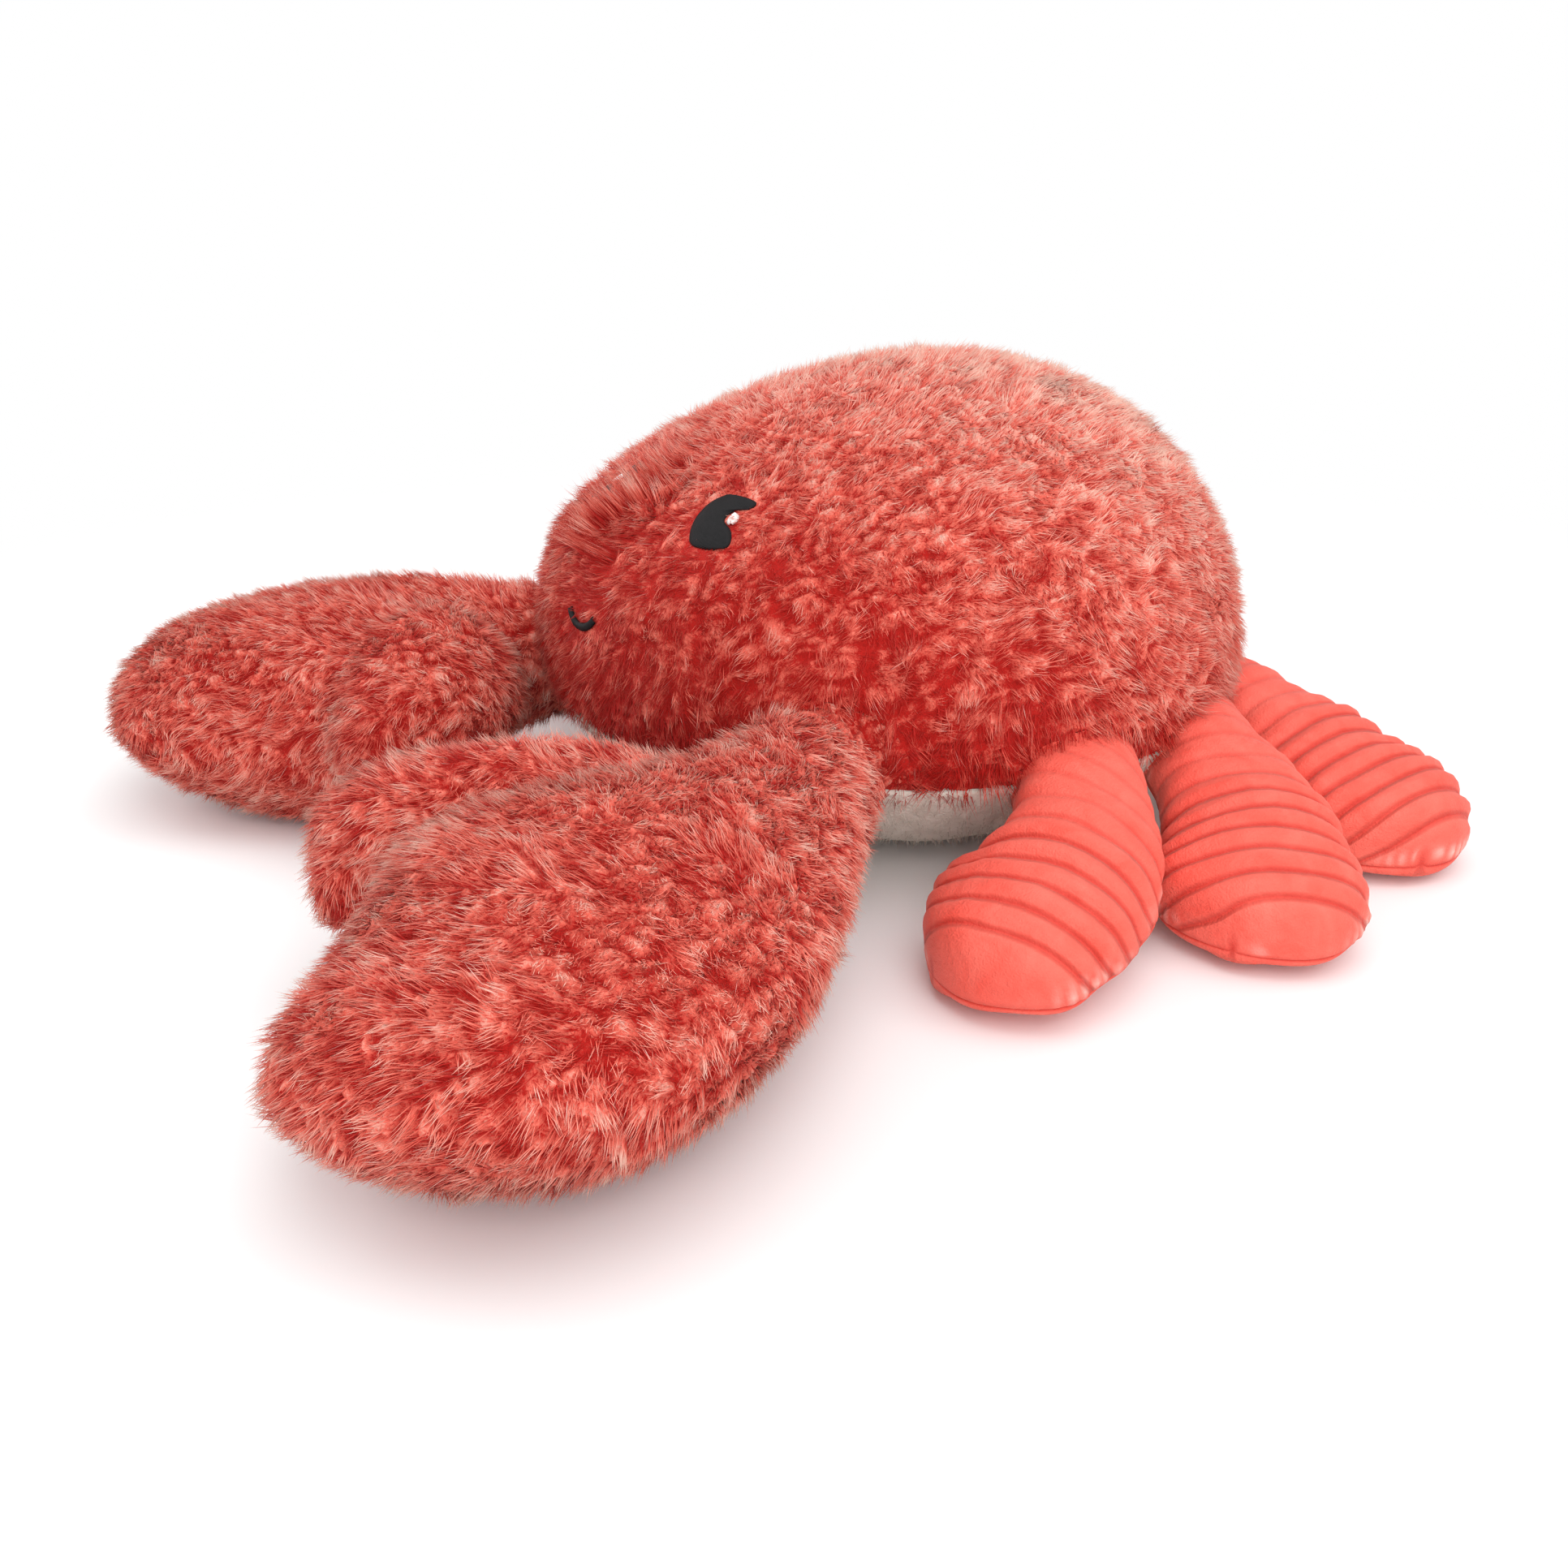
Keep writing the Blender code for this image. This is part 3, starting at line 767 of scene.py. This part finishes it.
def spread(piece, count, rng, keep=None):
    """Random roots on a mesh, spread by area, with the smooth normal at each."""
    p, n = triangles_of(piece)
    area = np.linalg.norm(np.cross(p[:, 1] - p[:, 0], p[:, 2] - p[:, 0]), axis=1) / 2
    if keep is not None:
        area = area * keep(p.mean(1))
    steps = (np.arange(count) + rng.random(count)) / count
    order = np.minimum(np.searchsorted(np.cumsum(area) / area.sum(), steps), len(area) - 1)
    u, v = np.sqrt(rng.random(count)), rng.random(count)
    share = np.stack([1 - u, u * (1 - v), u * v], 1)[:, :, None]
    return (p[order] * share).sum(1), unit((n[order] * share).sum(1))


# %% Gather the roots into tufts
def mean_by(tuft, values):
    """The mean of the values in each tuft, given back to each of its members."""
    total = np.stack([np.bincount(tuft, v) for v in values.T], 1)
    return (total / np.bincount(tuft)[:, None])[tuft]


def turned(vectors, about, angle):
    """Vectors turned about unit axes at right angles to them."""
    return vectors * np.cos(angle)[:, None] + np.cross(about, vectors) * np.sin(angle)[:, None]


def on_cloth(vectors, normals):
    """Vectors without the part that runs along the unit normals."""
    return vectors - normals * (vectors * normals).sum(1)[:, None]


# %% Grow the fibres
def spikes(root, tip, girth):
    """Four points and four triangles a fibre: a ring of three round the root, square to the
    fibre, and a point at the tip."""
    way = unit(tip - root)
    across = unit(np.cross(way, unit(np.array((0.31, 0.17, 0.93)))[None]))
    ring = ring_of(across, np.cross(way, across), 3)
    points = np.concatenate([root[:, None] + ring * girth[:, None, None], tip[:, None]], 1)
    one = np.array([(0, 2, 1), (0, 1, 3), (1, 2, 3), (2, 0, 3)])
    faces = one[None] + (np.arange(len(root)) * 4)[:, None, None]
    return points.reshape(-1, 3), faces.reshape(-1, 3)


def grow(
    roots, normals, flow, rng, seed, height, lean, tuft_size, girth, gather,
    tall=1.0, long=1.0, tone_and_painted_light=0.0,
):
    """Fibre tips: out along the normal by the height, along the flow by the lean, and drawn towards
    the middle of the tuft. The colour runs from painted shade at the root to painted light at the
    tip, and is painted lighter in the middle of a tuft than at its edge, as shade between tufts.
    The last argument moves the whole ramp: on the body by painted light and shade, on the claws by
    one even amount."""
    tuft, full = tufts(roots, tuft_size, seed)
    centre, outwards = mean_by(tuft, roots), unit(mean_by(tuft, normals))
    chance = rng.random(tuft.max() + 1)[tuft]
    swirl = 0.7 * unevenness(centre, 0.03, seed + 11) + 1.0 * (chance - 0.5)
    swirl += 0.35 * unevenness(roots, 0.012, seed + 12) + rng.normal(size=len(roots)) * 0.16
    flow = turned(unit(on_cloth(flow, outwards)), outwards, swirl)
    tall = tall * height * (0.75 + 0.5 * rng.random(tuft.max() + 1)[tuft])
    tall = tall * rng.uniform(0.7, 1.2, len(roots))
    long = long * lean * rng.uniform(0.7, 1.25, len(roots)) * (1.15 - 0.35 * chance)
    inward = on_cloth(centre - roots, outwards)
    far = np.maximum(np.linalg.norm(inward, axis=1), 1e-9)
    inward *= np.minimum(1, 0.6 * tuft_size / far)[:, None]
    bowl = normals * 0.5 + outwards * 0.5
    tip = roots + bowl * tall[:, None] + flow * long[:, None] + inward * gather
    tip += rng.normal(size=roots.shape) * 0.0003
    for p in (roots, tip):
        p[:, 2] = np.maximum(p[:, 2], 0.0009 + 0.0006 * rng.random(len(p)))
    points, faces = spikes(roots, tip, girth * rng.uniform(0.75, 1.2, len(roots)))
    shade = np.empty((len(roots), 4, 3))
    shade[:, :, 0] = rng.random(len(roots))[:, None]
    # Ramp place: painted shade at the root, painted light at the tip, painted shade at a tuft's
    # edge, plus the last argument's shift.
    shade[:, :, 1] = np.array((0.1, 0.1, 0.1, 0.85))[None] + (0.6 * (full - 0.6) + tone_and_painted_light)[:, None]
    shade[:, :, 2] = chance[:, None]
    return points, faces, shade.reshape(-1, 3), np.repeat(bowl, 4, 0)


def fur_piece(name, grown, material):
    """A fur mesh. Its normals are mostly those of the cloth under it: light passes through real
    fibres and from one to the next, so that a pile shades softly, as one surface."""
    points, faces, shade, soft = grown
    piece = new_piece(name, points, faces, material)
    own = vectors_of(piece, "normal")
    piece.data.normals_split_custom_set_from_vertices(unit(soft * 0.5 + own * 0.6))
    note(piece, "pile", shade)
    print(name, len(faces), "triangles")


# %% [markdown]
# ## Where the face is
# The eyes and the mouth are stitched into the fur. The fur is trimmed there, so the fur's
# functions need the face's frame first: a point on the body, with directions sideways, up and
# out.


# %% The face's places
def surface_frame(angle, height):
    """The point of the body at an angle round from the face and a height, with unit vectors
    sideways, up and out of it."""
    turn = math.radians(angle)

    def at(tilt, more=0.0):
        """The body's point at a tilt, turned a little more."""
        flat = math.cos(tilt)
        way = (math.sin(turn + more) * flat, -math.cos(turn + more) * flat, math.sin(tilt))
        return body_surface(np.array([way]), 0)[0]

    low, high = 0.0, math.pi / 2
    for _ in range(40):
        tilt = (low + high) / 2
        low, high = (tilt, high) if at(tilt)[2] < height else (low, tilt)
    sideways = unit(at(tilt, 0.01) - at(tilt, -0.01))
    out = unit(np.cross(sideways, at(tilt + 0.01) - at(tilt - 0.01)))
    return at(tilt), sideways, np.cross(out, sideways), out


EYE_ANGLE, EYE_HEIGHT, EYE_SINK = 20, 0.079, 0.0022
EYE_OUTLINE = np.array(
    (
        (5.4, 7.9), (-1.2, 8.8), (-5.2, 6.2), (-6.1, 1.2), (-4.7, -3.6), (-2.4, -6.2), (2.4, -6.6),
        (6.0, -5.5), (6.2, -3.4), (4.6, -1.0), (1.4, 1.4), (2.0, 4.2), (5.4, 5.8),
    )
) / 1000
HIGHLIGHT_CENTRE, HIGHLIGHT_SIZE = (0.0034, 0.0020), (0.0012, 0.0015)
MOUTH_HEIGHT, MOUTH_RADIUS, MOUTH_SPAN, MOUTH_LINE = 0.053, 0.0072, 102, 0.0016
eye_places = {name: surface_frame(side * EYE_ANGLE, EYE_HEIGHT) for name, side in SIDES}
mouth_place = surface_frame(0, MOUTH_HEIGHT)


def smooth_loop(points, steps=6):
    """A closed smooth line through the points."""
    near = (np.roll(points, -k, 0)[:, None, :] for k in (-1, 0, 1, 2))
    return spline(*near, (np.arange(steps) / steps)[None, :, None]).reshape(-1, 2)


def in_place(points, place):
    """Sideways and upwards coordinates of points in a face frame."""
    return np.stack([(points - place[0]) @ place[1], (points - place[0]) @ place[2]], 1)


def gap_to_loop(flat, loop):
    """Distance from flat points to a closed outline, below zero inside it."""
    a, b = loop[None], np.roll(loop, -1, 0)[None]
    p = flat[:, None]
    t = np.clip(((p - a) * (b - a)).sum(2) / ((b - a) ** 2).sum(2), 0, 1)
    gap = np.linalg.norm(p - a - (b - a) * t[:, :, None], axis=2).min(1)
    (ax, ay), (bx, by), (x, y) = (np.moveaxis(q, 2, 0) for q in (a, b, p))
    crossed = ((ay > y) != (by > y)) & (x < (bx - ax) * (y - ay) / (by - ay + 1e-15) + ax)
    return np.where(crossed.sum(1) % 2 == 1, -gap, gap)


eye_loops = {name: smooth_loop(EYE_OUTLINE) * (side, 1) for name, side in SIDES}
half = math.radians(MOUTH_SPAN / 2)
arc = np.linspace(-math.pi / 2 - half, -math.pi / 2 + half, 40)
mouth_line = np.stack([MOUTH_RADIUS * np.cos(arc), MOUTH_RADIUS * np.sin(arc) + MOUTH_RADIUS], 1)
print("eyes at", [tuple(np.round(p[0], 3)) for p in eye_places.values()])


def face_gap(points):
    """Distance in metres from each point to the nearest stitched shape of the face."""
    gap = np.full(len(points), 1.0)
    near = (points[:, 1] < -0.02) & (points[:, 2] > 0.04)
    p = points[near]
    found = np.full(len(p), 1.0)
    for name, place in eye_places.items():
        found = np.minimum(found, gap_to_loop(in_place(p, place), eye_loops[name]))
    off_line = in_place(p, mouth_place)[:, None] - mouth_line[None]
    gap[near] = np.minimum(found, np.linalg.norm(off_line, axis=2).min(1) - MOUTH_LINE / 2)
    return gap


# %% [markdown]
# ## Body fur
# The pile lies down and back over the dome, swirls where the stuffing pushes, and is longest at
# the seam, where it hangs over the edge of the pale belly.


# %% Body fur
def in_limbs(points):
    """Which points are inside an arm or a leg."""
    return np.any([tube.nearest(points, 40)[1] < 0.94 for tube in limbs], 0)


def painted_body_light(points):
    """Painted light and shade: paler with height and towards the back, as painted light, and darker
    low at the front and in the short groove above the mouth, as painted shade, both as bell curves."""
    flat = in_place(points, mouth_place)
    line = np.hypot(flat[:, 0], np.maximum(np.abs(flat[:, 1] - 0.008) - 0.005, 0))
    # Painted shade in the short groove above the mouth.
    groove = bell(line, 0, 0.0022) * (points[:, 1] < -0.04)
    # Painted shade low at the front.
    low = 0.2 * bell(points[:, 2], 0.030, 0.012) * np.clip(0.4 - points[:, 1] / 0.05, 0, 1)
    # Painted light towards the back; the next line adds painted light with height.
    back = 3.5 * np.clip(points[:, 1], -0.1, 0.035)
    return np.clip((points[:, 2] - 0.046) * 5.5 + back, -0.12, 0.45) - low - 0.5 * groove


# Fibres for each fleece, then each pile's height, lean, tuft size, fibre girth and gathering.
FIBRES = {"body": 94000, "left": 48000, "right": 38000, "belly": 5000}
BODY_PILE, CLAW_PILE = (0.0025, 0.0028, TUFT, 0.00012, 0.5), (0.0024, 0.0030, TUFT, 0.00012, 0.5)
BELLY_PILE = (0.0014, 0.0010, 0.0022, 0.00014, 0.2)

# The body's fleece is painted paler high and towards the back, and darker low at the front and in
# the groove above the mouth, as painted light and shade.
raise_tufts(shell_skin, TUFT, 40, 0.0017, lambda p: np.clip(face_gap(p) / 0.004, 0, 1), painted_body_light)
rng = np.random.default_rng(21)
eye_x = eye_places["left"][0][0]


def between_eyes(points):
    """One where the pile stands up high, from the right eye's inner edge to the middle, falling
    to zero over a centimetre above the eye."""
    x, y, z = points.T
    here = (x > -eye_x + 0.002) & (x < 0.004) & (y < -0.03) & (z > 0.066)
    return here * np.clip((0.089 - z) / 0.010, 0, 1)


def above_seam(points):
    """How closely the fibres stand: not at all under the seam, and closest between the eyes."""
    return (points[:, 2] > SEAM_HEIGHT - 0.0005) * (1 + 1.6 * between_eyes(points))


roots, normals = spread(shell_skin, FIBRES["body"], rng, above_seam)
gap = face_gap(roots)
free = (gap > 0.0004) & ~in_limbs(roots + normals * 0.002)
roots, normals, gap = roots[free], normals[free], gap[free]
flow = np.array((0.0, 0.45, -0.9))[None] + 0.35 * normals * (1, 1, 0)
inner = between_eyes(roots) * (gap < 0.014)
trim = np.clip(0.62 + gap / 0.012, 0.62, 1)
to_leg = np.min([tube.nearest(roots, 40)[1] for tube in legs.values()], 0)
hem = 0.7 * np.clip(1.8 - to_leg, 0, 0.8) / 0.8 + 0.9 * bell(roots[:, 2], SEAM_HEIGHT, 0.006)
tall = trim * (1 + hem * 0.4) * (1 - inner) + 2.8 * inner
long = trim * (1 + hem) * (1 - inner) + 0.4 * inner
# Painted light and shade for each body fibre, as on the fleece.
tone_and_painted_light = painted_body_light(roots)
p, f, s, soft = grow(roots, normals, flow, rng, 40, *BODY_PILE, tall, long, tone_and_painted_light)
print("body fibres:", len(roots))
for number, part in enumerate(np.array_split(np.argsort(roots[:, 1]), 3), 1):
    vertices = (part[:, None] * 4 + np.arange(4)[None]).ravel()
    faces = f[:4][None] + (np.arange(len(part)) * 4)[:, None, None]
    grown = p[vertices], faces.reshape(-1, 3), s[vertices], soft[vertices]
    fur_piece(f"shell_fur_{number}", grown, fur)


# %% [markdown]
# ## Claw fur
# On the claws the pile runs from the body towards the tips and down to the floor, and it leans
# a little more than on the body.

# %% Claw fur
for name, side in SIDES:
    rng = np.random.default_rng(50 + side)
    skin = claw_skins[name]
    raise_tufts(skin, TUFT, 60 + side, 0.0018)
    roots, normals = spread(skin, FIBRES[name], rng, lambda p: body_depth(p, -0.001) > 0)
    finger, thumb = claws[name]
    _, near_finger, finger_way = finger.nearest(roots)
    _, near_thumb, thumb_way = thumb.nearest(roots)
    flow = np.where((near_finger < near_thumb)[:, None], finger_way, thumb_way) * 0.9
    flow = flow + np.array((0.0, 0.0, -0.45)) + 0.3 * normals * (1, 1, 0)
    # The claw fur's ramp is moved by one even amount.
    grown = grow(roots, normals, flow, rng, 60 + side, *CLAW_PILE, tone_and_painted_light=0.08)
    fur_piece(name + "_claw_fur", grown, fur)

# %% [markdown]
# ## Belly plush
# The belly has a short pale pile. Only its edge shows between the fur and the floor, so the
# fibres stand there, and the flat underside keeps its felted cloth.

# %% Belly plush
rng = np.random.default_rng(80)
roots, normals = spread(
    belly_skin, FIBRES["belly"], rng, lambda p: (p[:, 2] > 0.003) & (p[:, 2] < SEAM_HEIGHT)
)
free = ~in_limbs(roots)
roots, normals = roots[free], normals[free]
flow = np.array((0.0, 0.0, -1.0))[None] + 0.6 * normals * (1, 1, 0)
grown = grow(roots, normals, flow, rng, 90, *BELLY_PILE)
fur_piece("belly_pile", grown, cream)

# %% [markdown]
# ## Legs
# Each leg is two velour panels sewn edge to edge: a full upper one, and a flat one that lies on
# the floor. Rows of stitching draw the upper panel into ribs. The grid of each leg has its rib
# profile pressed in along the normal: round crowns with thin creases between them, and the
# seam as a puckered groove along both edges. The ribs are straight in the cloth, so they stay
# parallel though the leg is bowed, and over the blunt front they follow its height.


# %% Legs
LEG_GRID, LEG_INSET, SEAM_TURN, PUCKER_PITCH = (176, 50), 0.0008, -0.12, 0.0046


def even_rows(tube, rows):
    """Values of s whose rows are evenly spaced along the top of the tube: the lengths between
    close points, added up and read at even steps."""
    s = 0.9995 * np.sin(np.linspace(0, math.pi / 2, 900))
    top = tube.place(s, np.full(900, math.pi / 2), LEG_INSET)
    along = np.append(0, np.cumsum(np.linalg.norm(np.diff(top, axis=0), axis=1)))
    return np.interp(np.linspace(0, along[-1], rows), along, s)


def leg_piece(name, tube, seed):
    """A closed grid on the leg's tube, with ribs, seam and puckers as a rise. The grid is finer
    at the seam, which lies a little under the widest level."""
    rows, around = LEG_GRID
    s = even_rows(tube, rows)
    turn = np.arange(around) * 2 * math.pi / around
    turn = turn - 0.36 * np.sin(2 * turn) + SEAM_TURN * np.cos(turn)
    ss, tt = (g.ravel() for g in np.meshgrid(s, turn, indexing="ij"))
    base = tube.place(ss, tt, LEG_INSET)
    root, tip = np.array(tube.path[0]), np.array(tube.path[-1])
    chord = unit((tip - root) * (1, 1, 0))
    from_tip = (base - base[-1]) @ -chord
    aside = np.abs((base - base[-1]) @ np.array((-chord[1], chord[0], 0)))
    height = 0.012 * (1 - np.exp(-np.maximum(base[:, 2] - tip[2], 0) / 0.012))
    across = (from_tip + 1.2 * height) / RIB_PITCH - 0.2 + 0.08 * unevenness(base, 0.05, seed)
    across = np.maximum(across, 0.5)
    crown = 0.5 - 0.5 * np.cos(2 * math.pi * across)
    thick = through(tube.thicknesses, ss) / 2 * (1 + tube.flat) * tube.sizes(ss, 1, 0)[2]
    edge = (np.sin(tt) - math.sin(SEAM_TURN)) * np.maximum(thick, 0.004)
    fade = np.clip((ss - 0.2) / 0.3, 0.35, 1) * np.where(edge > 0, 1, 0.2)
    seam = bell(edge, 0, 0.0007)
    phase = math.pi * (from_tip + 1.3 * aside) / PUCKER_PITCH + unevenness(base, 0.02, seed + 2)
    bead = bell(edge, 0.0022, 0.0013) * np.cos(phase) ** 2
    bead = bead * np.clip(0.5 + unevenness(base, 0.025, seed + 4), 0, 1)
    rise = 0.0013 * (crown - 0.55) * fade * (1 - seam) * np.clip(edge / 0.005, 0.2, 1)
    rise = rise - 0.0010 * seam + 0.0006 * bead + 0.0005 * unevenness(base, 0.018, seed + 1)
    rise = np.maximum(rise, -0.0011)
    points = out_of_body(tube.place(ss, tt, LEG_INSET, rise[:, None]), 0.003)
    most = np.where(np.sin(tt) < -0.6, 0.0030 + 0.02 * (1 - ss), np.inf)
    points[:, 2] = np.clip(points[:, 2], LOWEST, most)
    points, faces = closed_ends(points, rows, around)
    piece = new_piece(name + "_cover", points, faces, velour)
    # The third value gives painted shade in the seam, and below zero a painted glint on a pucker.
    rib = np.stack([across, fade * (1 - seam), np.clip(seam - 0.9 * bead, -1, 1)], 1)
    note(piece, "rib", np.vstack([rib, rib[:1], rib[-1:]]))
    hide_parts(name)
    return piece


for seed, (name, tube) in enumerate(legs.items(), 100):
    leg = leg_piece(name, tube, seed * 3)
print("leg faces:", len(leg.data.polygons))

# %% [markdown]
# ## Stitched face
# The eyes and the mouth are satin stitch: many short threads side by side. Each thread is a
# thin tube that rises a little in the middle and dives into the cloth at its two ends.


# %% Threads
def threads(name, ends, place, material, lift=0.00035, girth=0.00019, inset=EYE_SINK):
    """Tubes between pairs of flat points: a hump of a sine's root, laid on the body."""
    rows, around = 9, 6
    t = np.linspace(0, 1, rows)
    flat = ends[:, None, 0] + (ends[:, 1] - ends[:, 0])[:, None] * t[None, :, None]
    count = len(flat)
    at = place[0] + flat.reshape(-1, 2) @ np.stack([place[1], place[2]])
    line = onto_body(at, np.tile(place[3], (len(at), 1)), inset).reshape(count, rows, 3)
    hump = lift * np.sqrt(np.sin(t * math.pi).clip(0)) - girth * 1.4
    line = line + place[3] * hump[None, :, None]
    way = unit(np.gradient(line, axis=1))
    side = unit(np.cross(way, place[3]))
    ring = ring_of(side, np.cross(side, way), around)
    points = (line[:, :, None] + ring * girth).reshape(count, rows * around, 3)
    one = grid_faces(rows, around)
    caps = np.array([(3, 2, 1, 0), (5, 4, 3, 0)])
    last = (rows - 1) * around + np.array([(0, 1, 2, 3), (0, 3, 4, 5)])
    one = np.vstack([one, caps, last])
    one = outward(points[0] - points[0].mean(0), one)
    faces = one[None] + (np.arange(count) * rows * around)[:, None, None]
    piece = new_piece(name, points.reshape(-1, 3), faces.reshape(-1, 4), material)
    print(name, "threads:", count)
    return piece


def hatch(loop, pitch, slant):
    """Pairs of points where slanted parallel lines enter and leave a closed outline."""
    cos, sin = math.cos(slant), math.sin(slant)
    flat = loop @ np.array(((cos, -sin), (sin, cos)))
    a, b = flat, np.roll(flat, -1, 0)
    pairs = []
    for y in np.arange(flat[:, 1].min() + pitch / 2, flat[:, 1].max(), pitch):
        hit = (a[:, 1] > y) != (b[:, 1] > y)
        x = np.sort((a + (b - a) * ((y - a[:, 1]) / (b[:, 1] - a[:, 1] + 1e-15))[:, None])[hit, 0])
        pairs += [((x[k], y), (x[k + 1], y)) for k in range(0, len(x) - 1, 2)]
    return np.array(pairs) @ np.array(((cos, sin), (-sin, cos)))


# %% Eyes and mouth
for name, side in SIDES:
    place = eye_places[name]
    stitches = hatch(eye_loops[name], 0.00027, side * 0.35)
    eye = threads(name + "_eye_stitches", stitches, place, black_thread)
    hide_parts(name + "_eye")
    ring = np.linspace(0, 2 * math.pi, 24, endpoint=False)
    spot = np.stack([np.cos(ring), np.sin(ring)], 1) * HIGHLIGHT_SIZE + HIGHLIGHT_CENTRE
    stitches = hatch(spot * (side, 1), 0.00025, side * 0.35)
    label, lift = name + "_highlight_stitches", 0.0005
    spot = threads(label, stitches, place, white_thread, lift)
    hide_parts(name + "_eye_highlight")

arc = np.linspace(arc[0], arc[-1], 46)
radii = np.array((MOUTH_RADIUS - MOUTH_LINE / 2, MOUTH_RADIUS + MOUTH_LINE / 2))
across = np.stack([np.outer(np.cos(arc), radii), np.outer(np.sin(arc), radii) + MOUTH_RADIUS], 2)
mouth = threads("mouth_stitches", across, mouth_place, black_thread, 0.0006)
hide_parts("mouth")

# %% [markdown]
# ## The solids that stay
# The fillings keep their solids, which lie under the cloth, and take the look of loose wadding.

# %% Fillings
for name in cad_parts:
    solid = bpy.data.objects.get(name)
    if solid and name.endswith("filling"):
        for slot_number in range(max(1, len(solid.material_slots))):
            if solid.material_slots:
                solid.material_slots[slot_number].material = fibrefill
print("fillings dressed")

# %% [markdown]
# ## Camera, floor and light
# The camera stands 40 cm away, 22 degrees up and 57 degrees round from the crab's face, as in
# the photograph. The floor is a plain pale sheet, and it turns to plain white far from the toy,
# but only for the camera. A broad lamp overhead, a smaller one at each side and an even sky
# light the crab softly.


# %% Camera
def put(thing, right, up, back, place):
    """A camera or a lamp set in the scene at a place, facing away from back."""
    turn = np.eye(4)
    turn[:3] = np.stack([right, up, back, place], 1)
    thing.matrix_world = Matrix(turn.tolist())
    bpy.context.scene.collection.objects.link(thing)


CAMERA_DISTANCE, CAMERA_LENS, LOOKED_AT = 0.4, 37.267, (0, 0, 0.05)
back = np.array((0.7776, -0.5050, 0.3746))
right = np.array((0.5446, 0.8387, 0.0))
up = np.array((-0.3142, 0.2040, 0.9272))
place = np.array(LOOKED_AT) + CAMERA_DISTANCE * back - 0.0248 * right - 0.0492 * up
camera_data = bpy.data.cameras.new("camera")
camera_data.lens, camera_data.sensor_width = CAMERA_LENS, 36
camera_data.clip_start = 0.01
camera = bpy.data.objects.new("camera", camera_data)
put(camera, right, up, back, place)
bpy.context.scene.camera = camera
bpy.context.scene.view_settings.view_transform = "Standard"

# %% Floor
n = Nodes("pale_floor")
ray = n.add("LightPath").outputs
seen = n.maths("MAXIMUM", ray["Is Camera Ray"], ray["Is Glossy Ray"])
seen = n.maths("MAXIMUM", seen, ray["Is Transmission Ray"])
where = n.add("TexCoord").outputs["Object"]
far = n.add("VectorMath", {0: where}, operation="LENGTH").outputs["Value"]
far = n.smooth_step(far, 0.24, 0.42)
n.set(base_color=n.mix(seen, grey(0.80), grey(0.97)), roughness=0.9)
glow = n.add("Emission", {"Color": grey(1), "Strength": 1.0}).outputs[0]
share = n.maths("MULTIPLY", far, seen)
both = n.add("MixShader", {0: share, 1: n.shader.outputs[0], 2: glow}).outputs[0]
n.join(both, n.tree.nodes["Material Output"].inputs["Surface"])
mesh = bpy.data.meshes.new("floor")
mesh.from_pydata([(-6, -6, 0), (6, -6, 0), (6, 6, 0), (-6, 6, 0)], [], [(0, 1, 2, 3)])
mesh.materials.append(n.owner)
floor = bpy.data.objects.new("floor", mesh)
bpy.context.scene.collection.objects.link(floor)

# %% Light
n = Nodes("studio", bpy.data.worlds)
bpy.context.scene.world = n.owner
sky, ray = n.tree.nodes["Background"], n.add("LightPath").outputs
seen = n.maths("MAXIMUM", ray["Is Camera Ray"], ray["Is Glossy Ray"])
level = n.add("MapRange", {"Value": seen, "To Min": 0.62, "To Max": 1.0}).outputs[0]
n.join(grey(1), sky.inputs["Color"])
n.join(level, sky.inputs["Strength"])


def lamp(name, place, size, power):
    """An area lamp that looks at the crab."""
    data = bpy.data.lights.new(name, "AREA")
    data.size, data.energy = size, power
    back = unit(np.array(place, float) - (0, 0, 0.04))
    side = unit(np.cross((0.01, 0.0, 1.0), back))
    put(bpy.data.objects.new(name, data), side, np.cross(back, side), back, place)


lamp("key", (0.40, 0.05, 1.1), 1.3, 7.2)
lamp("left_fill", (-0.9, -0.6, 0.6), 0.9, 4)
lamp("right_fill", (1.0, -0.5, 0.5), 0.9, 7)
